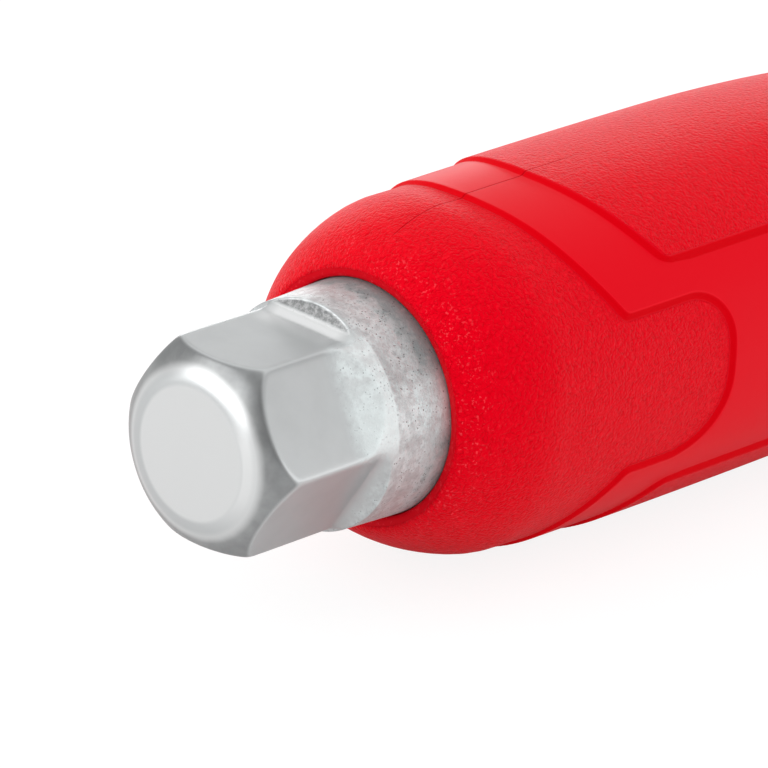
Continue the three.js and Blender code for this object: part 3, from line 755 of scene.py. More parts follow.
@dataclass(frozen=True)
class ForgedSteel:
    """The head's finish: satin forging, a pitted collar with dark scale and painted shade by the grip, a dark
    shoulder.

    A band and a place along x, y or z say where a smooth rise starts and ends, and a line is a
    slope and a start.
    """

    name: str = "forged_steel"
    # a little cyan: painted correction against the red the grip reflects into the steel
    colour: Colour = (0.615, 0.632, 0.636)
    tone_range: Span = (0.97, 1.02)
    struck: Coat = Coat((0.775, 0.785, 0.785))
    # painted highlight: the rim's colour where it lies on the -Y side
    rim: Coat = Coat((0.830, 0.840, 0.840))
    bright: Coat = Coat((0.850, 0.915, 0.920), 0.80)
    # painted highlight: the top flat's rear, made lighter
    ledge_highlight: Coat = Coat((0.930, 0.940, 0.940), 0.90)
    # dark scale in blotches, also laid as painted shade by the grip
    scale: Coat = Coat((0.208, 0.235, 0.238), 0.80)
    grit: Coat = Coat((0.208, 0.235, 0.238), 0.22)
    pit: Coat = Coat((0.120, 0.120, 0.122), 0.75)
    cleaned: Coat = Coat((0.800, 0.860, 0.860))
    # painted shade: a dark grey laid over the cone round the face
    cone_shade: Coat = Coat((0.200, 0.205, 0.208))
    skin: tuple[Colour, Colour] = ((0.230, 0.235, 0.236), (0.450, 0.452, 0.455))
    # painted correction: a cyan tint near the grip against its red reflection
    cool_tint: Colour = (0.92, 1.0, 1.0)

    clouds: Speckle = (4.0, 3.0, 0.55)
    blotches: Speckle = (1.3, 3.0, 0.60)
    dust: Speckle = (0.42, 3.0, 0.70)
    cone_shade_noise: Speckle = (2.6, 3.0, 0.60)
    pit_groups: Speckle = (1.3, 3.0, 0.65)
    roughening: Speckle = (0.20, 3.0, 0.65)
    dents: Speckle = (1.1, 2.0, 0.50)
    pit_size: float = 0.36
    cloud_band: Span = (0.30, 0.70)
    bright_band: Span = (0.36, 0.66)
    grit_band: Span = (0.50, 0.66)
    skin_band: Span = (0.36, 0.66)
    scale_band: Span = (0.15, 1.0)
    pit_band: Span = (0.26, 0.16)
    pit_group_band: Span = (0.49, 0.56)

    outside_x: Span = (40.0, 30.0)
    face_x: Span = (1.6, 0.6)
    collar_x: Span = (15.1, 16.7)
    by_grip_x: Span = (18.5, 23.4)
    near_grip_x: Span = (17.6, 21.5)
    # where on the rim the painted highlight lies, along y and z
    rim_highlight_y: Span = (1.0, -4.5)
    rim_highlight_z: tuple[Span, Span] = ((6.5, 2.5), (-8.0, -1.0))
    # painted highlight: where on the collar's -Y side the scale and painted shade are left off, where a
    # lamp's reflection falls
    reflection_gap_y: Span = (-6.0, -9.0)
    reflection_gap_z: tuple[Span, Span] = ((-0.5, 2.0), (7.5, 5.5))
    top_z: Span = (-2.0, 9.0)
    side_top_z: Span = (8.0, 3.0)

    by_grip_line: Span = (0.35, 0.65)
    blotch_line: Span = (1.7, -0.84)
    reflection_gap_line: Span = (-0.8, 1.0)
    cleaned_line: Span = (0.45, 0.30)
    cone_shade_line: Span = (0.5, 0.45)
    skin_metal_share: float = 0.5
    metal_line: Span = (-0.45, 1.0)
    side_metal_line: Span = (-0.6, 1.0)
    gloss_line: Span = (0.10, 0.30)
    dull_gloss: float = 0.20
    specular: float = 0.3
    relief_line: Span = (0.95, 0.05)
    relief_depth: float = 0.050
    dent_depth: float = 0.10
    pit_depth: float = -0.04
    under_strength: float = 0.8

    def material(self) -> bpy.types.Material:
        """Makes the finish from the head's marks and from places along and across the axis.

        Returns:
            The material.
        """
        sheet = MaterialSheet(self.name)
        x, _, z = sheet.axes()
        outside = sheet.zone(x, self.outside_x)
        collar = sheet.times(sheet.zone(x, self.collar_x), outside)
        by_grip = sheet.times(sheet.zone(x, self.by_grip_x), outside)
        side, shoulder = sheet.attribute("blended_shoulder"), sheet.attribute("dark_shoulder")
        rough_part = sheet.most(collar, side)
        blotch, dust = sheet.noise(*self.blotches), sheet.noise(*self.dust)
        scale_and_shade = self.scale_and_grip_shade(sheet, blotch, by_grip, collar)
        pits = self.pits(sheet, rough_part)
        clean = sheet.line(sheet.zone(z, self.side_top_z), *self.cleaned_line)
        cone_shade_share = sheet.line(sheet.noise(*self.cone_shade_noise), *self.cone_shade_line)
        tone = sheet.coats(self.satin(sheet), (
            (sheet.times(sheet.between(blotch, self.bright_band), rough_part), self.bright),
            # painted highlight on the top flat's rear
            (sheet.attribute("ledge_painted_highlight"), self.ledge_highlight),
            # dark scale, and painted shade by the grip
            (scale_and_shade, self.scale),
            (sheet.times(sheet.between(dust, self.grit_band), rough_part), self.grit),
            (pits, self.pit),
            (sheet.times(side, clean), self.cleaned),
            # painted shade over the cone, in uneven patches
            (sheet.times(sheet.attribute("cone_painted_shade"), cone_shade_share), self.cone_shade),
        ))
        tone = sheet.blend(shoulder, tone, sheet.blend(sheet.between(dust, self.skin_band), *self.skin))
        near_grip = sheet.times(sheet.zone(x, self.near_grip_x), outside)
        covered = sheet.most(by_grip, sheet.times(shoulder, self.skin_metal_share))
        metal = sheet.line(covered, *self.metal_line)
        gloss = sheet.line(rough_part, *self.gloss_line)
        sheet.give({
            # painted correction: cyan near the grip against the grip's red reflection
            "Base Color": sheet.blend(near_grip, tone, self.cool_tint, "MULTIPLY"),
            "Metallic": sheet.math("MINIMUM", metal, sheet.line(side, *self.side_metal_line)),
            "Roughness": sheet.line(sheet.most(shoulder, scale_and_shade), self.dull_gloss, gloss),
            "Specular IOR Level": self.specular,
            "Normal": self.relief(sheet, rough_part, pits),
        })
        return sheet.material

    def satin(self, sheet: MaterialSheet) -> Socket:
        """The forging's clouded tone, the lighter struck face and a painted highlight on the rim's -Y side.

        Args:
            sheet: The material's nodes.

        Returns:
            The tone.
        """
        x, y, z = sheet.axes()
        dark, light = (tuple(share * c for c in self.colour) for share in self.tone_range)
        tone = sheet.blend(sheet.between(sheet.noise(*self.clouds), self.cloud_band), dark, light)
        rim = sheet.attribute("rim_highlight_band")
        # painted highlight on the rim's -Y side
        highlight_side = sheet.times(sheet.zone(y, self.rim_highlight_y), sheet.zone(z, *self.rim_highlight_z))
        return sheet.coats(tone, (
            (sheet.zone(x, self.face_x), self.struck),
            (rim, Coat(self.colour)),
            (sheet.times(rim, highlight_side), self.rim),
        ))

    def scale_and_grip_shade(
        self, sheet: MaterialSheet, blotch: object, by_grip: object, collar: object
    ) -> Socket:
        """Where dark scale lies on the collar in blotches, with painted shade that deepens by the grip and
        more so on top; both leave off a spot on the -Y side, as painted highlight where a lamp's reflection
        falls.

        Args:
            sheet: The material's nodes.
            blotch: The noise that breaks it up.
            by_grip: How near the grip it is.
            collar: Where the collar is.

        Returns:
            The share of scale.
        """
        _, y, z = sheet.axes()
        # painted shade: darker by the grip, more so on top
        scale_and_shade = sheet.times(by_grip, sheet.line(sheet.zone(z, self.top_z), *self.by_grip_line))
        scale_and_shade = sheet.math("ADD", scale_and_shade, sheet.line(blotch, *self.blotch_line))
        # painted highlight: the scale and painted shade are left off where a lamp's reflection falls
        reflection_gap = sheet.times(sheet.zone(z, *self.reflection_gap_z), sheet.zone(y, self.reflection_gap_y))
        return sheet.times(sheet.between(scale_and_shade, self.scale_band), collar, sheet.line(reflection_gap, *self.reflection_gap_line))

    def pits(self, sheet: MaterialSheet, rough_part: object) -> Socket:
        """Small round pits, in groups.

        Args:
            sheet: The material's nodes.
            rough_part: Where the steel is rough.

        Returns:
            Where the pits are.
        """
        spots = sheet.between(sheet.cells(self.pit_size), self.pit_band)
        groups = sheet.between(sheet.noise(*self.pit_groups), self.pit_group_band)
        return sheet.times(spots, groups, rough_part)

    def relief(self, sheet: MaterialSheet, rough_part: object, pits: object) -> Socket:
        """Roughening, dents and pits in the surface.

        Args:
            sheet: The material's nodes.
            rough_part: Where the steel is rough.
            pits: Where the pits are.

        Returns:
            The bumped normal.
        """
        roughening = sheet.times(sheet.noise(*self.roughening), sheet.line(rough_part, *self.relief_line))
        normal = sheet.bump(roughening, self.relief_depth)
        dents = sheet.times(sheet.noise(*self.dents), rough_part)
        normal = sheet.bump(dents, self.dent_depth, self.under_strength, normal)
        return sheet.bump(pits, self.pit_depth, self.under_strength, normal)


@dataclass(frozen=True)
class RedPlastic:
    """The grip's finish: satin red, fine leathery grain on the tail and the front panels, with painted shade
    on the walls and in the grain's valleys, and painted highlights on the lips, on the grain's tops and as
    glints by the mouth.

    The walls, lips and the two level bands are distances from the edges of the levels.
    """

    name: str = "red_grip"
    colour: Colour = (0.705, 0.0003, 0.0080)
    # painted shade in the grain's valleys and painted highlight on its tops
    valley_shade: Coat = Coat((0.590, 0.0002, 0.0050), 0.80)
    peak_highlight: Coat = Coat((0.800, 0.0040, 0.0140), 0.85)
    # painted glints: lighter pink dots near the mouth
    painted_glint: Coat = Coat((0.860, 0.0550, 0.0700), 0.70)
    # painted shade: the walls between the levels are painted a deeper red
    wall: Coat = Coat((0.625, 0.0001, 0.0040))
    # painted highlight: a lighter line along the top of each wall
    lip_highlight: Coat = Coat((0.800, 0.0080, 0.0180), 0.55)
    seam: Coat = Coat((0.450, 0.0, 0.003), 0.70)
    gloss_tint: Colour = (1.0, 0.0, 0.08)
    refraction: float = 1.26

    tail_band: Span = (0.05, -0.20)
    panel_band: Span = (0.02, -0.20)
    rear_wall: Span = (0.04, 0.68)
    front_wall: Span = (0.05, 0.94)
    wall_edge: float = 0.16
    rear_lip: Span = (0.74, 0.84)
    front_lip: Span = (-0.12, -0.02)
    lip_edge: float = 0.10
    seam_x: tuple[Span, Span] = ((25.5, 28.0), (57.0, 50.0))
    seam_y: Span = (0.11, 0.02)
    # where along the axis the painted glints lie
    glint_x: tuple[Span, Span] = ((28.0, 24.4), (23.35, 23.6))

    warp_size: float = 0.9
    warp_reach: float = 0.25
    net: Speckle = (0.62, 1.0, 0.5)
    net_band: Span = (0.0, 0.10)
    net_share: float = 0.25
    bumps: Speckle = (0.44, 2.0, 0.6)
    bump_share: float = 1.1
    faint: Speckle = (0.9, 3.0, 0.6)
    faint_share: float = 0.06
    seam_depth: float = -0.5
    relief_depth: float = 0.150
    # grain heights that get the painted shade and the painted highlight
    valley_shade_band: Span = (0.68, 0.40)
    peak_highlight_band: Span = (0.78, 1.05)
    glint_specks: Speckle = (0.30, 1.5, 0.5)
    glint_band: Span = (0.58, 0.68)
    glint_groups: Speckle = (1.6, 2.0, 0.5)
    glint_group_band: Span = (0.38, 0.60)
    gloss_line: Span = (0.04, 0.40)
    wall_roughness: float = 0.85
    seam_roughness: float = 0.9

    def band(self, sheet: MaterialSheet, along: object, ends: Span, edge: float) -> Socket:
        """A band with soft edges.

        Args:
            sheet: The material's nodes.
            along: What is measured.
            ends: Where the band starts and ends.
            edge: How wide its edges are.

        Returns:
            The band, 1 inside and 0 outside.
        """
        low, high = ends
        rising = sheet.between(along, (low - edge / 2, low + edge / 2))
        return sheet.times(rising, sheet.between(along, (high + edge / 2, high - edge / 2)))

    def grain(self, sheet: MaterialSheet) -> Socket:
        """The leathery grain: an irregular net of narrow valleys between low bumps.

        Args:
            sheet: The material's nodes.

        Returns:
            The grain's height.
        """
        warp = sheet.add("ShaderNodeTexNoise")
        sheet.feed(warp.inputs["Vector"], sheet.place)
        warp.inputs["Scale"].default_value = 1 / (self.warp_size * MM)
        push = sheet.add("ShaderNodeVectorMath", operation="SCALE")
        sheet.feed(push.inputs[0], warp.outputs["Color"])
        push.inputs["Scale"].default_value = self.warp_reach * MM
        moved = sheet.add("ShaderNodeVectorMath", operation="ADD")
        sheet.feed(moved.inputs[0], sheet.place)
        sheet.feed(moved.inputs[1], push.outputs["Vector"])
        vector = moved.outputs["Vector"]
        fold = sheet.math("ABSOLUTE", sheet.math("SUBTRACT", sheet.noise(*self.net, vector), 0.5))
        bumps = sheet.times(sheet.noise(*self.bumps, vector), self.bump_share)
        return sheet.line(sheet.between(fold, self.net_band), self.net_share, bumps)

    def material(self) -> bpy.types.Material:
        """Makes the finish from the grip's marks: the distance to each wall.

        Returns:
            The material.
        """
        sheet = MaterialSheet(self.name)
        rear, front = sheet.attribute("from_rear_edge"), sheet.attribute("from_front_edge")
        grained = sheet.math(
            "ADD", sheet.between(rear, self.tail_band), sheet.between(front, self.panel_band), clamp=True
        )
        outward = sheet.math("DIVIDE", front, sheet.attribute("wall_width"))
        # where the walls' painted shade lies
        wall = sheet.most(
            self.band(sheet, rear, self.rear_wall, self.wall_edge),
            self.band(sheet, outward, self.front_wall, self.wall_edge),
        )
        # where the lips' painted highlight lies
        lips = sheet.most(
            self.band(sheet, rear, self.rear_lip, self.lip_edge),
            self.band(sheet, front, self.front_lip, self.lip_edge),
        )
        grain = self.grain(sheet)
        x, y, z = sheet.axes()
        above = sheet.math("GREATER_THAN", z, 0.0)
        seam = sheet.times(
            sheet.zone(sheet.math("ABSOLUTE", y), self.seam_y), above, sheet.zone(x, *self.seam_x)
        )
        height = sheet.line(sheet.noise(*self.faint), self.faint_share, sheet.times(grain, grained))
        # painted glints near the mouth, in groups
        glint_specks = sheet.times(
            sheet.between(sheet.noise(*self.glint_specks), self.glint_band),
            sheet.between(sheet.noise(*self.glint_groups), self.glint_group_band),
            sheet.zone(x, *self.glint_x),
        )
        tone = sheet.coats(self.colour, (
            # painted shade in the grain's valleys, painted highlight on its tops
            (sheet.times(sheet.between(grain, self.valley_shade_band), grained), self.valley_shade),
            (sheet.times(sheet.between(grain, self.peak_highlight_band), grained), self.peak_highlight),
            (glint_specks, self.painted_glint), (wall, self.wall), (lips, self.lip_highlight), (seam, self.seam),
        ))
        rough = sheet.most(sheet.line(grained, *self.gloss_line), sheet.times(wall, self.wall_roughness))
        sheet.give({
            "Base Color": tone,
            "Normal": sheet.bump(sheet.line(seam, self.seam_depth, height), self.relief_depth),
            "Roughness": sheet.most(rough, sheet.times(seam, self.seam_roughness)),
            "IOR": self.refraction,
            "Specular Tint": self.gloss_tint,
        })
        return sheet.material


@dataclass(frozen=True)
class Rubber:
    """Dull black rubber."""

    name: str = "black_rubber"
    colour: Colour = (0.012, 0.012, 0.012)
    light_share: float = 2.2
    clouds: Speckle = (0.9, 3.0, 0.5)
    grain: Speckle = (0.2, 3.0, 0.5)
    grain_depth: float = 0.01
    roughness: float = 0.7

    def material(self) -> bpy.types.Material:
        """Makes the finish.

        Returns:
            The material.
        """
        sheet = MaterialSheet(self.name)
        light = tuple(self.light_share * c for c in self.colour)
        sheet.give({
            "Base Color": sheet.blend(sheet.noise(*self.clouds), self.colour, light),
            "Roughness": self.roughness,
            "Normal": sheet.bump(sheet.noise(*self.grain), self.grain_depth),
        })
        return sheet.material


class Finishes:
    """All the finishes, each made once and named as the record names its slot."""

    def __init__(self) -> None:
        """Makes the materials."""
        made = (
            ForgedSteel(),
            RedPlastic(),
            Rubber(),
            Steel("ground_steel", (0.60, 0.61, 0.62), 0.24, spread=0.05, grain=0.4, depth=0.002, lathe=True),
            Steel("dark_steel", (0.060, 0.060, 0.064), 0.40, spread=0.06, grain=0.5, depth=0.004),
            Steel("spring_steel", (0.30, 0.31, 0.32), 0.30, spread=0.05, grain=0.4, depth=0.002),
            Steel("bronze", (0.42, 0.22, 0.075), 0.32, spread=0.05, grain=0.4, depth=0.002, lathe=True),
            Steel("magnet_nickel", (0.62, 0.60, 0.56), 0.16, spread=0.04, grain=0.4, depth=0.001),
        )
        self.by_slot = {finish.name: finish.material() for finish in made}

    def dress(self, piece: Piece, slot: str) -> None:
        """Gives a new piece its finish and names its slot.

        Args:
            piece: The piece.
            slot: The record's material slot.
        """
        piece.data.materials.clear()
        piece.data.materials.append(self.by_slot[slot])

    def dress_node(self, node: str, slot: str) -> None:
        """Gives a CAD node its finish.

        Args:
            node: The node's name.
            slot: The record's material slot.
        """
        carried = frame["nodes"][node]
        if not carried.material_slots:
            carried.data.materials.append(None)
        for holder in carried.material_slots:
            holder.material = self.by_slot[slot]


@dataclass
class Grip:
    """The moulded red grip: three levels, each a step above the one behind it."""

    start: float = 23.4
    end: float = 107.3
    mouth_radius: float = 12.2
    mouth_rounding: Profile = ((0.80, 0.0), (0.38, 0.03), (0.27, 0.15), (0.18, 0.45), (0.08, 0.80))
    tail_radius: float = 13.3
    round_length: float = 10.24
    round_power: float = 1.458
    crown_x: float = 74.9
    crown_radius: float = 19.79
    rear_drop: float = 0.26
    rear_reach: float = 34.0
    front_drop: float = 1.10
    front_reach: float = 26.0
    squareness: float = 0.025
    square_start: float = 26.0
    square_length: float = 10.0
    step: float = 0.38
    run: float = 0.72
    side_run: float = 0.95
    side_start: float = 1.0
    side_width: float = 2.0
    ease: float = 0.30
    rear_edge: float = 36.4
    rear_bow: float = 15.4
    tongue_tip: float = 58.9
    tongue_low: float = 61.9
    tongue_high: float = 111.8
    upper_corner: float = 5.5
    lower_corner: float = 7.5
    root_fillet: float = 0.5
    front_edge: float = 46.1
    front_bow: float = 20.2
    panel_end: float = 102.3
    top_half: float = 47.6
    bottom_half: float = 54.4
    panel_corner: float = 0.6
    bore_radius: float = 14.8
    neck_x: float = 30.7
    rib_middles: Span = (57.432, 93.776)
    rib_half: float = 1.7
    rib_height: float = 1.0
    front_round: float = 1.5
    front_turns: tuple[float, float, int] = (0.3, math.pi / 2, 5)
    lean: Profile = ((22.0, 0.22), (27.0, 0.30), (32.0, 0.12), (38.0, 0.0), (107.3, 0.0))
    lean_angle: float = -30.0
    lean_rise: float = 2.5
    columns: int = 420
    panel_wall: float = 1.6
    tongue_wall: float = 1.2
    crowding: Span = (3.2, 3.2)
    tail_rows: int = 22
    tail_crowding: float = 2.4
    row_spans: tuple[Steps, ...] = (
        (34.14, 35.6, 0.5), (35.8, 60.5, 0.21), (61.37, 100.9, 1.6), (101.1, 103.6, 0.2),
    )
    mark_limit: float = 4.0
    inner_mark: float = 3.0
    sharp_angle: float = 60.0

    def crown(self, x: np.ndarray) -> np.ndarray:
        """The front panels' radius, on the section's diagonals.

        Args:
            x: Places along the axis.

        Returns:
            The radius at each place.
        """
        rear = self.rear_drop * ((self.crown_x - x) / self.rear_reach) ** 2
        front = self.front_drop * ((x - self.crown_x) / self.front_reach) ** 2
        return self.crown_radius - np.where(x < self.crown_x, rear, front)

    def radius(self, x: np.ndarray, depth: np.ndarray) -> np.ndarray:
        """The radius with the tail rounded.

        Args:
            x: Places along the axis.
            depth: How far each one is below the front panels.

        Returns:
            The radius at each place.
        """
        round_end = self.start + self.round_length
        share = np.clip((round_end - x) / self.round_length, 0.0, 1.0)
        rounded = (1 - share**self.round_power) ** (1 / self.round_power)
        full = self.crown(np.maximum(x, round_end)) - depth
        return np.where(x < round_end, self.tail_radius + (full - self.tail_radius) * rounded, full)

    def past_bow(self, x: np.ndarray, bend: np.ndarray, edge: float, bow: float, arc: float) -> np.ndarray:
        """How far each place is ahead of an edge that bows forward; bend is degrees from top or bottom."""
        slope = 2 * bow * bend / QUARTER**2 / arc
        return (x - edge - bow * (bend / QUARTER) ** 2) / np.sqrt(1 + slope**2)

    def from_rear_edge(self, x: np.ndarray, fold: np.ndarray) -> np.ndarray:
        """How far each place is in front of the rear wall's foot.

        Args:
            x: Places along the axis.
            fold: Degrees from the top line.

        Returns:
            Distances, negative on the tail and its tongues.
        """
        arc = math.radians(1.0) * (self.crown_radius - 2 * self.step)
        bend = np.minimum(fold, 2 * QUARTER - fold)
        bowed = self.past_bow(x, bend, self.rear_edge, self.rear_bow, arc)
        ahead = x - self.tongue_tip
        upper = round_corner(ahead, (self.tongue_low - fold) * arc, self.upper_corner)
        lower = round_corner(ahead, (fold - self.tongue_high) * arc, self.lower_corner)
        tongue = np.where(fold < (self.tongue_low + self.tongue_high) / 2, upper, lower)
        return soft_min(bowed, tongue, self.root_fillet)

    def from_front_edge(self, x: np.ndarray, fold: np.ndarray) -> np.ndarray:
        """How far each place is outside the front panels' upper lips.

        Args:
            x: Places along the axis.
            fold: Degrees from the top line.

        Returns:
            Distances, negative on the panels.
        """
        arc = math.radians(1.0) * self.crown_radius
        bend = np.minimum(fold, 2 * QUARTER - fold)
        half = np.where(fold < QUARTER, self.top_half, self.bottom_half)
        behind = -self.past_bow(x, bend, self.front_edge, self.front_bow, arc)
        return round_corner(np.maximum(behind, x - self.panel_end), (bend - half) * arc, self.panel_corner)

    def wall_width(self, x: np.ndarray, fold: np.ndarray) -> np.ndarray:
        """The width of a front panel's wall: wider beside the panel than ahead of its bowed edge.

        Args:
            x: Places along the axis.
            fold: Degrees from the top line.

        Returns:
            The width near each place.
        """
        bend = np.minimum(fold, 2 * QUARTER - fold)
        edge = self.front_edge + self.front_bow * (bend / QUARTER) ** 2
        return self.run + (self.side_run - self.run) * rise(x - edge, self.side_start, self.side_width)

    def rows(self) -> list[float]:
        """Places the outside's rows along the axis, closest together at the walls.

        Returns:
            The rows' places.
        """
        shares = [(k / self.tail_rows) ** self.tail_crowding for k in range(self.tail_rows + 1)]
        return [self.start + self.round_length * share for share in shares] + stepped(self.row_spans)

    def inner_outline(self) -> Outline:
        """Draws the front edge, the bore with its ribs, and the mouth.

        Returns:
            The points, from the front to the rear.
        """
        half, height = self.rib_half, self.rib_height
        rib = ((half, 0.0), (half, -height), (-half, -height), (-half, 0.0))
        outline: Outline = [(self.end, self.bore_radius)]
        for middle in reversed(self.rib_middles):
            outline += offset(middle, self.bore_radius, rib)
        outline += [(self.neck_x, self.bore_radius), (self.neck_x, self.mouth_radius)]
        return outline + offset(self.start, self.mouth_radius, self.mouth_rounding)

    def walls(self) -> list[float]:
        """Lists the walls that run along the axis.

        Returns:
            Their angles from the top line, in degrees, on both sides.
        """
        walls = [
            self.top_half + self.panel_wall, self.tongue_low - self.tongue_wall,
            self.tongue_high + self.tongue_wall, 2 * QUARTER - self.bottom_half - self.panel_wall,
        ]
        return walls + [4 * QUARTER - wall for wall in walls]

    def build(self) -> Piece:
        """Spins the grip's outline and raises its levels.

        Returns:
            The grip.
        """
        outer, inner, size = self.rows(), self.inner_outline(), self.front_round
        front = [
            (self.end - size + size * math.sin(t), size * (1 - math.cos(t)))
            for t in np.linspace(*self.front_turns)
        ]
        places = np.array([(x, 0.0) for x in outer] + front + inner)
        piece = MeshShop.spun_sheet("grip_moulding", len(places), self.columns, closed=True)
        row, turn = MeshShop.rows_and_angles(piece)
        angle = spread_angles(turn, self.columns, self.walls(), *self.crowding)
        fold = degrees_from(angle)
        x, across = places[row, 0], places[row, 1]
        rear, ahead = self.from_rear_edge(x, fold), self.from_front_edge(x, fold)
        wall = self.wall_width(x, fold)
        level = Level.TAIL.value - (Level.TAIL.value - Level.SMOOTH.value) * ramp(rear / self.run, self.ease)
        level -= (Level.SMOOTH.value - Level.PANEL.value) * (1 - ramp(ahead / wall, self.ease))
        share = rise(x, self.square_start, self.square_length)
        square = self.squareness * share * share * (3 - 2 * share)
        flatter = square * ((1 + np.cos(4 * angle)) / 2) ** 2
        outside = self.radius(x, level * self.step) * (1 - flatter) - across
        inside = row >= len(outer) + len(front)
        MeshShop.place(piece, x, np.where(inside, across, outside), angle)
        self.shift(piece, x, np.where(inside, 0.0, rise(outside, self.tail_radius, self.lean_rise)))
        for name, distance in (("from_rear_edge", rear), ("from_front_edge", ahead)):
            held = np.clip(distance, -self.mark_limit, self.mark_limit)
            MeshShop.mark(piece, name, np.where(inside, self.inner_mark, held))
        MeshShop.mark(piece, "wall_width", wall)
        MeshShop.close_up(piece, self.sharp_angle)
        return piece

    def shift(self, piece: Piece, x: np.ndarray, share: np.ndarray) -> None:
        """Leans the outside a little off the axis.

        Args:
            piece: The grip.
            x: Each point's place along the axis.
            share: How much of the lean each point gets.
        """
        places, amounts = zip(*self.lean)
        amount = np.interp(x, places, amounts) * share
        lean = math.radians(self.lean_angle)
        points = MeshShop.coordinates(piece)
        points[:, 1] -= amount * math.sin(lean) * MM
        points[:, 2] += amount * math.cos(lean) * MM
        piece.data.vertices.foreach_set("co", points.ravel())
        piece.data.update()

    def make(self, finishes: Finishes) -> list[Piece]:
        """Builds the grip and sets it in the frame.

        Args:
            finishes: The finishes.

        Returns:
            The grip.
        """
        piece = self.build()
        finishes.dress(piece, "red_grip")
        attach(piece, "body")
        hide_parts("grip_sleeve")
        return [piece]


